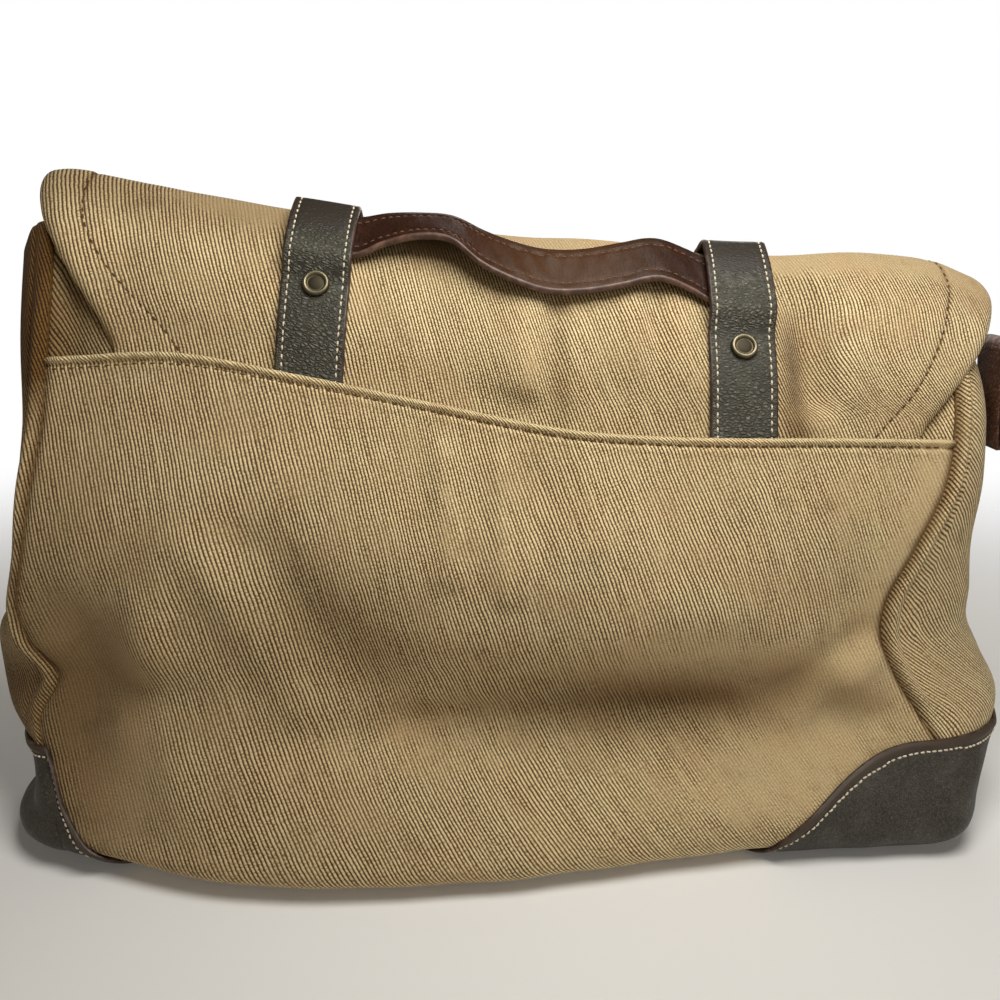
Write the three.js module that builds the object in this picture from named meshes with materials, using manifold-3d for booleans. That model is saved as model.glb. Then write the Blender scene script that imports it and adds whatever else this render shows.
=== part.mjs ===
// A slumped twill laptop bag with leather trim, standing on its base.
// The slip-pocket side faces -Y, +Z is up, and the origin is on the floor under the base.
// All sizes are millimetres.
import * as THREE from "three";
import Module from "manifold-3d";
import { mergeVertices } from "three/addons/utils/BufferGeometryUtils.js";

const { clamp, lerp, smoothstep, degToRad } = THREE.MathUtils;
const wasm = await Module();
wasm.setup();

// Driving dimensions
const TWILL = 1.6; // cloth wall
const PLY_GAP = 0.35; // clear space between neighbouring plies
const BASE_BOARD = 3; // doubled bottom panel
const STRAP = { width: 29, thickness: 2, tuck: 7 };
const HANDLE = { width: 25, thickness: 4, bevel: 1.2 };
const PATCH = { thickness: 1.6, above: 0.4 };
const RIVET = { radius: 5.8, rim: 1.1, height: 1.9, dish: 0.8 };
const TAB = { width: 22, thickness: 4.4, length: 40, eye: 5, hole: 2.5 };
const RING = { wire: 1.6, width: 30, height: 19, corner: 6, hang: 173 };
const CREST_DEPTH = 40; // depth of the flap's highest line
const RIM_DROP = 22; // the mouth's rim lies this far under the flap
const SHOULDER = 180; // above this height the body follows the slanting rim
const RIM_LEVEL = 236; // nominal height of the rim at mid width
const FLAP_HEM = 80; // height of the flap's front hem
const WELT = 2.4; // how far the gusset's seam welt stands out
const PATCH_FOOT = 0.5; // the patches stop this far above the floor

// A table's rows, as objects with named columns
function table(columns, ...rows) {
  return rows.map((row) => Object.fromEntries(columns.map((name, i) => [name, row[i]])));
}

// A smooth function through one column of a table, against another
function curveOf(rows, from, to) {
  const places = rows.map((row) => row[from]);
  const curve = new THREE.CubicInterpolant(places, rows.map((row) => row[to]), 1);
  return (at) => curve.evaluate(clamp(at, places[0], places.at(-1)))[0];
}

// The body by height: where the back seams are, how deep the back lies at each seam, half way
// and in the middle, how far the gussets bulge, and where the front lies
const BODY = table(
  [
    "level", "seamLeft", "seamRight", "atLeft", "midLeft", "middle", "midRight", "atRight",
    "sideLeft", "sideRight", "front",
  ],
  [1, -172, 174, -40, -68, -64, -46, -38, -192, 195, 32],
  [4, -182, 184, -48, -77, -74, -54, -46, -205, 205, 40],
  [10, -189, 193, -58, -84, -80, -59, -52, -215, 211, 47],
  [22, -192, 196, -53, -79, -74, -59, -49, -207, 215, 52],
  [38, -197, 195, -41, -67, -55, -48, -38, -210, 225, 55],
  [54, -202, 185, -31, -56, -38, -36.5, -31, -226, 230, 57],
  [72, -194, 173, -26, -49, -39.5, -36.5, -28, -231, 221, 58],
  [88, -204, 166, -27, -45, -43.5, -40, -26, -228, 213, 58],
  [104, -208, 166, -27, -41, -46, -43, -25, -217, 213, 58],
  [128, -204, 177, -25, -38, -43, -39, -23, -209, 213, 58],
  [155, -201, 190, -16, -31, -31, -29, -17, -210, 216, 57],
  [180, -197, 195, -7, -21, -21, -20, -9, -210, 217, 56],
  [210, -193, 196, 3, -8, -8, -7, 3, -211, 214, 54],
  [236, -192, 191, 16, 8, 8, 8, 14, -210, 206, 52],
);
const LEVELS = BODY.map((row) => row.level);
const BACK_STATIONS = [-1, -0.55, 0, 0.55, 1];

// The pocket's hem, and the flap's highest line, across the bag
const HEM = table(
  ["x", "z"],
  [-196, 208],
  [-140, 211],
  [-84, 202],
  [-29, 191],
  [25, 181],
  [62, 178],
  [145, 176],
  [196, 174],
);
const CREST = table(
  ["x", "z"],
  [-216, 263],
  [-206, 277],
  [-202, 283],
  [-195, 286],
  [-155, 280],
  [-60, 264],
  [0, 258],
  [60, 255],
  [92, 250],
  [188, 248],
  [222, 237],
);

// The flap's side edges, from its sewn edge (along 0) over its crest (1) to its front hem (2)
const FLAP_EDGES = table(
  ["along", "left", "right"],
  [0, -162, 175],
  [0.3, -175, 195],
  [0.6, -194, 213],
  [0.85, -203, 221],
  [1, -205, 219],
  [1.2, -205, 210],
  [2, -199, 201],
);

// Broad dents and swells of the back: a place, half sizes, a lean from upright and a height
const POCKET_FOLDS = table(
  ["x", "z", "across", "along", "turn", "rise"],
  [-166, 82, 15, 34, 52, -7],
  [-146, 98, 13, 40, -14, 4],
  [92, 96, 18, 70, 68, 4],
  [128, 72, 14, 60, 62, -5],
  [40, 150, 16, 34, -6, 2],
);
const FLAP_FOLDS = table(
  ["x", "along", "across", "run", "rise"],
  [8, 0.3, 15, 0.3, 3],
  [52, 0.35, 14, 0.3, -2],
  [132, 0.5, 13, 0.22, -3],
  [165, 0.55, 18, 0.3, 3],
  [-130, 0.8, 24, 0.3, 2],
);

// Straps: their middle line at the hem and at the crest, and where they ride over the handle
const STRAPS = table(
  ["side", "atHem", "atCrest", "handleAlong", "rivetAlong"],
  ["left", -80.5, -76, 0.78, 0.53],
  ["right", 102, 103, 0.73, 0.43],
);
const STRAP_END = 1.86; // the straps end short of the flap's front hem
const STRAP_RIDE = { from: 0.24, full: 0.13 }; // where a strap starts to rise below the handle
const STRAP_LIES = { from: 0.9, flat: 0.99 }; // and where it lies on the flap again
const HANDLE_ROOM = HANDLE.thickness + 2; // height of that rise

// The handle: how far up the flap it runs, how high it stands off it, and its lean from the flap
const HANDLE_STATIONS = table(
  ["x", "along", "stand", "tilt"],
  [-84, 0.78, 0, 0],
  [-62, 0.78, 0, 0],
  [-50, 0.82, 2, 2],
  [-36, 0.84, 4, 4],
  [-22, 0.83, 5, 2],
  [-8, 0.78, 4, -2],
  [5, 0.74, 3, -4],
  [20, 0.72, 1, -4],
  [36, 0.72, 1, -4],
  [52, 0.745, 2, -2],
  [68, 0.765, 3, 0],
  [82, 0.755, 1, 0],
  [90, 0.73, 0, 0],
  [110, 0.73, 0, 0],
);

// Leather corner patches: their upper edge, from its foot on the floor by two pulls to its shoulder
const PATCHES = table(
  ["side", "toward", "foot", "pullX", "pullZ", "turnX", "turnZ", "shoulder", "top"],
  ["left", -1, 146, 172, 10, 190, 26, 193, 44],
  ["right", 1, 106, 126, 18, 152, 45, 188, 45],
);

// Inset of each ply behind the pocket's outer skin
const INSET = {
  flap: TWILL + STRAP.thickness + 4 * PLY_GAP,
  back: 2 * TWILL + STRAP.thickness + 5 * PLY_GAP,
  backAtSeam: TWILL + 2 * PLY_GAP,
};

// Mesh helpers

// A closed solid through equal rings of points, capped at both ends, or joined end to end.
// Rings run anticlockwise seen from the way they are stacked. The second half of a ring is the
// back of the first, and its faces are split along the same diagonals.
function loft(rings, joined = false) {
  const count = rings[0].length;
  const points = rings.flat().flatMap((p) => [p.x, p.y, p.z]);
  const faces = [];
  const stacked = joined ? rings.length : rings.length - 1;
  for (let r = 0; r < stacked; r++) {
    const low = r * count;
    const high = ((r + 1) % rings.length) * count;
    for (let c = 0; c < count; c++) {
      const next = (c + 1) % count;
      const [a, b, d, e] = [low + c, low + next, high + next, high + c];
      if (c < count / 2) faces.push(a, b, d, a, d, e);
      else faces.push(a, b, e, b, d, e);
    }
  }
  if (!joined) {
    const top = (rings.length - 1) * count;
    for (let c = 0; c < count / 2 - 1; c++) {
      const quad = [c, c + 1, count - 2 - c, count - 1 - c];
      const [a, b, d, e] = quad;
      faces.push(b, a, d, d, a, e);
      faces.push(top + a, top + b, top + d, top + a, top + d, top + e);
    }
  }
  const geometry = new THREE.BufferGeometry();
  geometry.setAttribute("position", new THREE.Float32BufferAttribute(points, 3));
  geometry.setIndex(faces);
  geometry.computeVertexNormals();
  return geometry;
}

// Unit normals of a grid of points, one list of points for each row
function gridNormals(grid, around = false) {
  const rows = grid.length;
  const columns = grid[0].length;
  const column = (c) => (around ? (c + columns) % columns : clamp(c, 0, columns - 1));
  const row = (r) => clamp(r, 0, rows - 1);
  return grid.map((line, r) =>
    line.map((_, c) => {
      const across = grid[r][column(c + 1)].clone().sub(grid[r][column(c - 1)]);
      const up = grid[row(r + 1)][c].clone().sub(grid[row(r - 1)][c]);
      return across.cross(up).normalize();
    }),
  );
}

// A cloth or leather sheet over a grid: its outer face at an inset behind the grid's points
function sheet(grid, normals, inset, thickness) {
  const rings = grid.map((line, r) => {
    const at = (c, depth) => line[c].clone().addScaledVector(normals[r][c], -depth);
    const outer = line.map((_, c) => at(c, inset(r, c)));
    const inner = line.map((_, c) => at(c, inset(r, c) + thickness)).reverse();
    return [...outer, ...inner];
  });
  return loft(rings);
}

// A geometry as a solid for joining and cutting, and back again
function solidOf(geometry) {
  const bare = new THREE.BufferGeometry();
  bare.setAttribute("position", geometry.getAttribute("position"));
  bare.setIndex(geometry.getIndex());
  const merged = mergeVertices(bare, 1e-4);
  return new wasm.Manifold(
    new wasm.Mesh({
      numProp: 3,
      vertProperties: merged.getAttribute("position").array,
      triVerts: new Uint32Array(merged.getIndex().array),
    }),
  );
}

function geometryOf(solid) {
  const mesh = solid.getMesh();
  const geometry = new THREE.BufferGeometry();
  geometry.setAttribute("position", new THREE.Float32BufferAttribute(mesh.vertProperties, 3));
  geometry.setIndex([...mesh.triVerts]);
  geometry.computeVertexNormals();
  return geometry;
}

// Body form: the outer skin of the pocket, gussets and front panel

const column = Object.fromEntries(
  Object.keys(BODY[0]).map((name) => [name, curveOf(BODY, "level", name)]),
);
const hemAt = curveOf(HEM, "x", "z");
const crestAt = curveOf(CREST, "x", "z");
const rimAt = (x) => crestAt(x) - RIM_DROP;

// Height of a nominal level: true up to the shoulder, then drawn up or down to the slanting rim
function heightAt(level, x) {
  const above = Math.max(0, level - SHOULDER) / (RIM_LEVEL - SHOULDER);
  return Math.min(level, SHOULDER) + above * (rimAt(x) - SHOULDER);
}

// Nominal level of a height, the other way round
function levelAt(height, x) {
  const above = Math.max(0, height - SHOULDER) / (rimAt(x) - SHOULDER);
  return Math.min(height, SHOULDER) + above * (RIM_LEVEL - SHOULDER);
}

// Swell of one fold at a place, falling off smoothly from its middle line
function foldAt(fold, x, z) {
  const turn = degToRad(fold.turn);
  const across = (x - fold.x) * Math.cos(turn) + (z - fold.z) * Math.sin(turn);
  const along = (z - fold.z) * Math.cos(turn) - (x - fold.x) * Math.sin(turn);
  return fold.rise * Math.exp(-((across / fold.across) ** 2) - (along / fold.along) ** 2);
}

// Swell of all the back's folds, which die out at the sewn seams
function swellAt(share, x, z) {
  const swell = POCKET_FOLDS.reduce((sum, fold) => sum + foldAt(fold, x, z), 0);
  return swell * (1 - Math.min(1, Math.abs(share)) ** 8);
}

// Depth of the back's outer skin at a share of its width (-1 at the left seam, 1 at the right)
function backDepth(share, level) {
  const depths = ["atLeft", "midLeft", "middle", "midRight", "atRight"].map((n) => column[n](level));
  const across = new THREE.CubicInterpolant(BACK_STATIONS, depths, 1);
  return across.evaluate(clamp(share, -1, 1))[0];
}

function backPoint(share, level) {
  const x = lerp(column.seamLeft(level), column.seamRight(level), (share + 1) / 2);
  const z = heightAt(level, x);
  return new THREE.Vector3(x, backDepth(share, level) - swellAt(share, x, z), z);
}

// Depth of the back's skin at a place, for what lies over it
function backDepthAt(x, z) {
  const level = levelAt(z, x);
  const left = column.seamLeft(level);
  const right = column.seamRight(level);
  const share = (2 * (x - left)) / (right - left) - 1;
  return { depth: backDepth(share, level) - swellAt(share, x, z), share };
}

const FRONT_SEAM_IN = 16; // the front's seams lie this far inside the gussets' bulge
const CAVE_LEFT = 11; // the left gusset's upper half caves in behind its back edge
const FRONT_CORNER = 8; // and this far behind the middle of the front

function frontSeam(side, level) {
  const bulge = side < 0 ? column.sideLeft(level) : column.sideRight(level);
  return { x: bulge - side * FRONT_SEAM_IN, y: column.front(level) - FRONT_CORNER };
}

function frontPoint(share, level) {
  const right = frontSeam(1, level).x;
  const left = frontSeam(-1, level).x;
  const x = lerp(right, left, (share + 1) / 2);
  const y = column.front(level) - FRONT_CORNER * Math.abs(share) ** 5;
  return new THREE.Vector3(x, y, heightAt(level, x));
}

// A gusset runs from its back seam (0) round its bulge to its front seam (1)
function gussetPoint(side, share, level) {
  const back = backPoint(side, level);
  const front = frontSeam(side, level);
  const bulge = side < 0 ? column.sideLeft(level) : column.sideRight(level);
  const pull = (bulge - 0.25 * back.x) / 0.75;
  const cave = side < 0 ? CAVE_LEFT * smoothstep(level, 110, 160) : 0;
  const curve = new THREE.CubicBezierCurve(
    new THREE.Vector2(back.x, back.y),
    new THREE.Vector2(pull + side * cave, lerp(back.y, front.y, 0.15)),
    new THREE.Vector2(pull - 1.5 * side * cave, lerp(back.y, front.y, 0.75)),
    new THREE.Vector2(front.x, front.y),
  );
  const p = curve.getPoint(share);
  return new THREE.Vector3(p.x, p.y, heightAt(level, p.x));
}

// The stations round the body, as one closed line of columns from the back's left seam
const BACK_STEPS = 24;
const FRONT_STEPS = 14;
const GUSSET_STATIONS = [0, 0.06, 0.18, 0.34, 0.5, 0.66, 0.82, 0.94, 1];
const GUSSET_STEPS = GUSSET_STATIONS.length - 1;
const SEAM_EASE = 1.4; // back stations crowd towards the seams

function crowded(step, steps) {
  const even = (2 * step) / steps - 1;
  return Math.sign(even) * (1 - (1 - Math.abs(even)) ** SEAM_EASE);
}

const AROUND = [];
for (let i = 0; i < BACK_STEPS; i++) {
  AROUND.push((level) => backPoint(crowded(i, BACK_STEPS), level));
}
for (let i = 0; i < GUSSET_STEPS; i++) {
  AROUND.push((level) => gussetPoint(1, GUSSET_STATIONS[i], level));
}
for (let i = 0; i < FRONT_STEPS; i++) {
  AROUND.push((level) => frontPoint((2 * i) / FRONT_STEPS - 1, level));
}
for (let i = 0; i < GUSSET_STEPS; i++) {
  AROUND.push((level) => gussetPoint(-1, 1 - GUSSET_STATIONS[i], level));
}
const SEAM_RIGHT = BACK_STEPS;
const FRONT_RIGHT = SEAM_RIGHT + GUSSET_STEPS;
const FRONT_LEFT = FRONT_RIGHT + FRONT_STEPS;
const SEAM_LEFT = FRONT_LEFT + GUSSET_STEPS; // the same line as column 0

const bodyGrid = LEVELS.map((level) => AROUND.map((at) => at(level)));
const bodyNormals = gridNormals(bodyGrid, true);

// The part of the body's grid between two columns, drawn back at both ends to leave a seam gap
function panelGrid(first, last, seamGap) {
  const pick = (line) => {
    const list = [];
    for (let c = first; c <= last; c++) list.push(line[c % line.length].clone());
    return list;
  };
  const grid = bodyGrid.map(pick);
  const normals = bodyNormals.map(pick);
  for (const line of grid) {
    for (const [end, beside] of [[0, 1], [line.length - 1, line.length - 2]]) {
      const inward = line[beside].clone().sub(line[end]);
      line[end].addScaledVector(inward.normalize(), seamGap);
    }
  }
  return { grid, normals };
}

const SEAM_GAP = 0.4;

// The welt fades out above the corner patches and at the rim
const weltAt = (height) => WELT * smoothstep(height, 52, 66) * (1 - smoothstep(height, 205, 225));

function gussetGeometry(first, last) {
  const { grid, normals } = panelGrid(first, last, SEAM_GAP);
  const steps = last - first;
  const inset = (r, c) => (c === 1 || c === steps - 1 ? -weltAt(LEVELS[r]) : 0);
  return sheet(grid, normals, inset, TWILL);
}

function frontGeometry() {
  const { grid, normals } = panelGrid(FRONT_RIGHT, FRONT_LEFT, SEAM_GAP);
  return sheet(grid, normals, () => 0, TWILL);
}

function backGeometry() {
  const { grid, normals } = panelGrid(0, SEAM_RIGHT, 2 * SEAM_GAP);
  const inset = (r, c) => {
    const share = Math.abs(crowded(c, BACK_STEPS));
    return lerp(INSET.back, INSET.backAtSeam, smoothstep(share, 0.95, 1));
  };
  return sheet(grid, normals, inset, TWILL);
}

// The slip pocket covers the back from the base to its curved hem
const POCKET_SQUARE = 128; // rows are level up to here, then drawn up to the hem
const POCKET_UPPER_ROWS = 3;

function pocketGeometry() {
  const level = LEVELS.filter((height) => height <= POCKET_SQUARE);
  const rows = level.map((height) => () => height);
  for (let i = 1; i <= POCKET_UPPER_ROWS; i++) {
    rows.push((x) => lerp(POCKET_SQUARE, levelAt(hemAt(x), x), i / POCKET_UPPER_ROWS));
  }
  const grid = rows.map((row) =>
    Array.from({ length: BACK_STEPS + 1 }, (_, c) => {
      const share = crowded(c, BACK_STEPS);
      return backPoint(share, row(backPoint(share, SHOULDER).x));
    }),
  );
  for (const line of grid) {
    line[0].lerp(line[1], SEAM_GAP / line[0].distanceTo(line[1]));
    line.at(-1).lerp(line.at(-2), SEAM_GAP / line.at(-1).distanceTo(line.at(-2)));
  }
  const normals = gridNormals(grid);
  const onBody = (r, c) => bodyNormals[r][c % AROUND.length];
  level.forEach((_, r) => {
    for (const c of [0, BACK_STEPS]) normals[r][c].copy(onBody(r, c));
  });
  return sheet(grid, normals, () => 0, TWILL);
}

// The bottom panel fills the body's lowest ring
function baseGeometry() {
  const rim = bodyGrid[0].map((p, c) => {
    const inward = bodyNormals[0][c].clone().setZ(0).normalize();
    return new THREE.Vector2(p.x, p.y).addScaledVector(inward, -TWILL);
  });
  const board = new THREE.Shape(rim);
  return new THREE.ExtrudeGeometry(board, { depth: BASE_BOARD, bevelEnabled: false });
}

// A corner patch is a leather ply over the body's lower corner, trimmed to its curved edge
function patchGeometry({ toward, foot, pullX, pullZ, turnX, turnZ, shoulder, top }) {
  const middle = toward > 0 ? SEAM_RIGHT : FRONT_LEFT;
  const reach = { back: 10, front: 5 };
  const first = toward > 0 ? middle - reach.back : middle - reach.front;
  const last = middle + GUSSET_STEPS + (toward > 0 ? reach.front : reach.back);
  const rows = LEVELS.filter((height) => height < 80).length;
  const grid = [];
  const normals = [];
  for (let r = 0; r < rows; r++) {
    const line = [];
    for (let c = first; c <= last; c++) line.push(c % AROUND.length);
    grid.push(line.map((c) => bodyGrid[r][c]));
    normals.push(line.map((c) => bodyNormals[r][c]));
  }
  const ply = sheet(grid, normals, () => -PATCH.above - PATCH.thickness, PATCH.thickness);
  const edge = new THREE.Shape();
  const far = 2 * shoulder;
  edge.moveTo(toward * foot, PATCH_FOOT);
  edge.lineTo(toward * far, PATCH_FOOT);
  edge.lineTo(toward * far, top);
  edge.lineTo(toward * shoulder, top);
  edge.bezierCurveTo(toward * turnX, turnZ, toward * pullX, pullZ, toward * foot, PATCH_FOOT);
  const depth = 400;
  const block = new THREE.ExtrudeGeometry(edge, { depth, bevelEnabled: false, curveSegments: 8 });
  block.translate(0, 0, -depth / 2).rotateX(Math.PI / 2);
  return geometryOf(solidOf(ply).intersect(solidOf(block)));
}

// Flap: from its sewn edge behind the pocket's hem, over the mouth and down the front

const flapLeft = curveOf(FLAP_EDGES, "along", "left");
const flapRight = curveOf(FLAP_EDGES, "along", "right");
const FLAP_STATIONS = [0, 0.12, 0.36, 0.62, 0.82, 1, 1.15, 1.35, 1.7, 2];
const FLAP_ROWS = [
  0, 0.12, 0.24, 0.36, 0.49, 0.62, 0.72, 0.82, 0.91, 1, 1.075, 1.15, 1.25, 1.35, 1.52, 1.7, 1.85, 2,
];
const FLAP_STEPS = 24;
const EAR_LIFT = 8; // the flap's free corners stand off the gussets by this much
const FLAP_LOFT = 3.4; // and its middle stands this much off the back above the hem
const FRONT_CLEAR = 2; // the flap hangs this far off the front panel

// Swell of the flap's folds
function flapFold(x, along) {
  return FLAP_FOLDS.reduce((sum, fold) => {
    const across = (x - fold.x) / fold.across;
    const run = (along - fold.along) / fold.run;
    return sum + fold.rise * Math.exp(-(across ** 2) - run ** 2);
  }, 0);
}

// A point of the flap's outer face
function flapPoint(x, along) {
  const hem = hemAt(x);
  const rim = rimAt(x);
  const crest = crestAt(x);
  const overBack = (z, climb) => {
    const { depth, share } = backDepthAt(x, z);
    const ear = smoothstep(Math.abs(share), 0.78, 1.02) * smoothstep(climb, 0.02, 0.32);
    return depth + INSET.flap - EAR_LIFT * ear - FLAP_LOFT * smoothstep(climb, 0.1, 0.36) * (1 - ear);
  };
  const front = (z) => column.front(levelAt(z, x)) + FRONT_CLEAR + TWILL;
  const half = lerp(hem, rim, 0.5);
  const shoulder = lerp(rim, crest, 0.72);
  const fall = rim - 14;
  const low = lerp(fall, FLAP_HEM, 0.55);
  const heights = [
    hem - STRAP.tuck, hem + 4, half, rim, shoulder, crest, lerp(crest, rim, 0.5), fall, low, FLAP_HEM,
  ];
  const rimDepth = overBack(rim, 0.62);
  const depths = [
    overBack(heights[0], 0), overBack(heights[1], 0.12), overBack(half, 0.36), rimDepth,
    lerp(rimDepth, CREST_DEPTH, 0.5), CREST_DEPTH, front(rim) - 6, front(fall), front(low), front(FLAP_HEM),
  ];
  const y = new THREE.CubicInterpolant(FLAP_STATIONS, depths, 1).evaluate(along)[0];
  const z = new THREE.CubicInterpolant(FLAP_STATIONS, heights, 1).evaluate(along)[0];
  const facing = along < 1 ? -1 : 1;
  const free = smoothstep(along, 0.1, 0.25) * (1 - smoothstep(along, 0.9, 1));
  return new THREE.Vector3(x, y + facing * free * flapFold(x, along), z);
}

const flapGrid = FLAP_ROWS.map((along) =>
  Array.from({ length: FLAP_STEPS + 1 }, (_, c) =>
    flapPoint(lerp(flapLeft(along), flapRight(along), c / FLAP_STEPS), along),
  ),
);
const flapGeometry = () => sheet(flapGrid, gridNormals(flapGrid), () => 0, TWILL);

// The flap's outer normal at a place, from its own slopes
function flapNormal(x, along) {
  const step = 0.02;
  const across = flapPoint(x + 1, along).sub(flapPoint(x - 1, along));
  const up = flapPoint(x, Math.min(2, along + step)).sub(flapPoint(x, Math.max(0, along - step)));
  return across.cross(up).normalize();
}

// Straps: doubled leather over the flap, riding up where the handle passes under them
const strapMiddle = (strap, along) => lerp(strap.atHem, strap.atCrest, Math.min(along, 1));

function strapStand(strap, along) {
  const { from, full } = STRAP_RIDE;
  const up = smoothstep(along, strap.handleAlong - from, strap.handleAlong - full);
  return 1.5 * PLY_GAP + HANDLE_ROOM * up * (1 - smoothstep(along, STRAP_LIES.from, STRAP_LIES.flat));
}

const STRAP_COLUMNS = [-0.5, -0.25, 0, 0.25, 0.5];
const STRAP_ROWS = [...FLAP_ROWS.filter((along) => along < STRAP_END), STRAP_END];

function strapGeometry(strap) {
  const grid = STRAP_ROWS.map((along) =>
    STRAP_COLUMNS.map((share) => flapPoint(strapMiddle(strap, along) + share * STRAP.width, along)),
  );
  const inset = (r) => -strapStand(strap, STRAP_ROWS[r]) - STRAP.thickness;
  return sheet(grid, gridNormals(grid), inset, STRAP.thickness);
}

const RIVET_CLEAR = 0.6; // a rivet's foot stands this far off the strap's face

// Rivets: a dished cap with a raised rim, standing on the strap
function rivetMesh(strap, material) {
  const { radius, rim, height, dish } = RIVET;
  const profile = [
    [0, 0], [radius, 0], [radius, 0.45 * height], [radius - 0.35 * rim, 0.9 * height],
    [radius - 0.8 * rim, height], [radius - 1.5 * rim, 0.85 * height],
    [radius - 1.9 * rim, height - dish], [0, height - 0.8 * dish],
  ].map(([r, h]) => new THREE.Vector2(r, h));
  const mesh = new THREE.Mesh(new THREE.LatheGeometry(profile, 18), material);
  const x = strapMiddle(strap, strap.rivetAlong);
  const face = (along) => {
    const out = flapNormal(x, along).multiplyScalar(strapStand(strap, along) + STRAP.thickness);
    return flapPoint(x, along).add(out);
  };
  const next = STRAP_ROWS.findIndex((along) => along > strap.rivetAlong);
  const [from, to] = [STRAP_ROWS[next - 1], STRAP_ROWS[next]];
  const slope = face(to).sub(face(from));
  const normal = new THREE.Vector3(1, 0, 0).cross(slope).normalize();
  mesh.position.copy(face(from)).addScaledVector(slope, (strap.rivetAlong - from) / (to - from));
  mesh.position.addScaledVector(normal, RIVET_CLEAR);
  mesh.quaternion.setFromUnitVectors(new THREE.Vector3(0, 1, 0), normal);
  return mesh;
}

// Handle: a flat padded leather grip that lies along the flap's shoulder between the straps
const HANDLE_STEP = 6;

function handleGeometry() {
  const first = HANDLE_STATIONS[0].x;
  const last = HANDLE_STATIONS.at(-1).x;
  const along = curveOf(HANDLE_STATIONS, "x", "along");
  const stand = curveOf(HANDLE_STATIONS, "x", "stand");
  const tilt = curveOf(HANDLE_STATIONS, "x", "tilt");
  const half = { width: HANDLE.width / 2, thick: HANDLE.thickness / 2 };
  const flat = half.width - HANDLE.bevel;
  const side = half.thick - HANDLE.bevel;
  const section = [
    [-flat, half.thick], [flat, half.thick], [half.width, side], [half.width, -side],
    [flat, -half.thick], [-flat, -half.thick], [-half.width, -side], [-half.width, side],
  ];
  const rings = [];
  const steps = Math.round((last - first) / HANDLE_STEP);
  for (let i = 0; i <= steps; i++) {
    const x = lerp(first, last, i / steps);
    const normal = flapNormal(x, along(x));
    const lift = PLY_GAP + half.thick + Math.max(0, stand(x));
    const middle = flapPoint(x, along(x)).addScaledVector(normal, lift);
    const turn = new THREE.Quaternion().setFromAxisAngle(new THREE.Vector3(1, 0, 0), degToRad(tilt(x)));
    const out = normal.clone().setX(0).normalize().applyQuaternion(turn);
    const up = new THREE.Vector3(1, 0, 0).cross(out);
    rings.push(
      section.map(([w, t]) => middle.clone().addScaledVector(up, w).addScaledVector(out, t)),
    );
  }
  return loft(rings);
}

// Side tabs: a leather strip on each gusset, folded round the bar of a plain ring
const TAB_LEVEL = 166;
const TAB_SHARE = { left: 0.8, right: 0.5 };

function tabGeometry() {
  const { thickness, length, eye, hole, width } = TAB;
  const centre = length + 0.8 * eye;
  const reach = Math.acos((thickness - eye) / eye);
  const strip = new THREE.Shape();
  strip.moveTo(0, 0);
  strip.lineTo(thickness, 0);
  strip.absarc(eye, centre, eye, -reach, Math.PI, false);
  const bore = new THREE.Path();
  bore.absarc(eye, centre, hole, 0, 2 * Math.PI, true);
  strip.holes.push(bore);
  const geometry = new THREE.ExtrudeGeometry(strip, { depth: width, bevelEnabled: false, curveSegments: 10 });
  return geometry.translate(0, 0, -width / 2).rotateX(Math.PI / 2);
}

function ringGeometry() {
  const { wire, width, height, corner } = RING;
  const outline = new THREE.Path();
  const side = width / 2 - corner;
  outline.moveTo(-side, 0);
  outline.lineTo(side, 0);
  outline.absarc(side, corner, corner, -Math.PI / 2, 0, false);
  outline.absarc(side, height - corner, corner, 0, Math.PI / 2, false);
  outline.absarc(-side, height - corner, corner, Math.PI / 2, Math.PI, false);
  outline.absarc(-side, corner, corner, Math.PI, 1.5 * Math.PI, false);
  const path = outline.getPoints(4).filter((p, i, all) => i === 0 || p.distanceTo(all[i - 1]) > 0.1);
  if (path[0].distanceTo(path.at(-1)) < 0.1) path.pop();
  const SIDES = 8;
  const rings = path.map((p, i) => {
    const before = path[(i + path.length - 1) % path.length];
    const after = path[(i + 1) % path.length];
    const ahead = after.clone().sub(before).normalize();
    return Array.from({ length: SIDES }, (_, k) => {
      const angle = (-2 * Math.PI * k) / SIDES;
      const out = wire * Math.cos(angle);
      return new THREE.Vector3(wire * Math.sin(angle), p.x + ahead.y * out, p.y - ahead.x * out);
    });
  });
  return loft(rings, true);
}

// A tab and its ring on one gusset, in a group that leans with the gusset
function sideTab(side, name, leather, brass) {
  const middle = TAB_SHARE[name];
  const foot = gussetPoint(side, middle, TAB_LEVEL);
  const head = gussetPoint(side, middle, TAB_LEVEL + TAB.length);
  const lean = Math.atan2(head.x - foot.x, head.z - foot.z);
  const outward = new THREE.Vector3(Math.cos(lean), 0, -Math.sin(lean)).multiplyScalar(side);
  let clear = 0;
  for (const share of [middle - 0.2, middle - 0.1, middle, middle + 0.1, middle + 0.2]) {
    for (let level = TAB_LEVEL - 2; level <= TAB_LEVEL + TAB.length + 2 * TAB.eye; level += 2) {
      clear = Math.max(clear, gussetPoint(side, share, level).sub(foot).dot(outward));
    }
  }
  const group = new THREE.Group();
  group.position.copy(foot).addScaledVector(outward, clear + 1.5 * PLY_GAP);
  group.rotation.set(0, side > 0 ? lean : -lean, side > 0 ? 0 : Math.PI, "ZYX");
  const tab = new THREE.Mesh(tabGeometry(), leather);
  tab.name = `side_tab_${name}`;
  const ring = new THREE.Mesh(ringGeometry(), brass);
  ring.name = `side_ring_${name}`;
  ring.position.set(TAB.eye, 0, TAB.length + 0.8 * TAB.eye);
  ring.rotation.y = degToRad(RING.hang);
  group.add(tab, ring);
  return group;
}

// Materials and assembly

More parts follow.
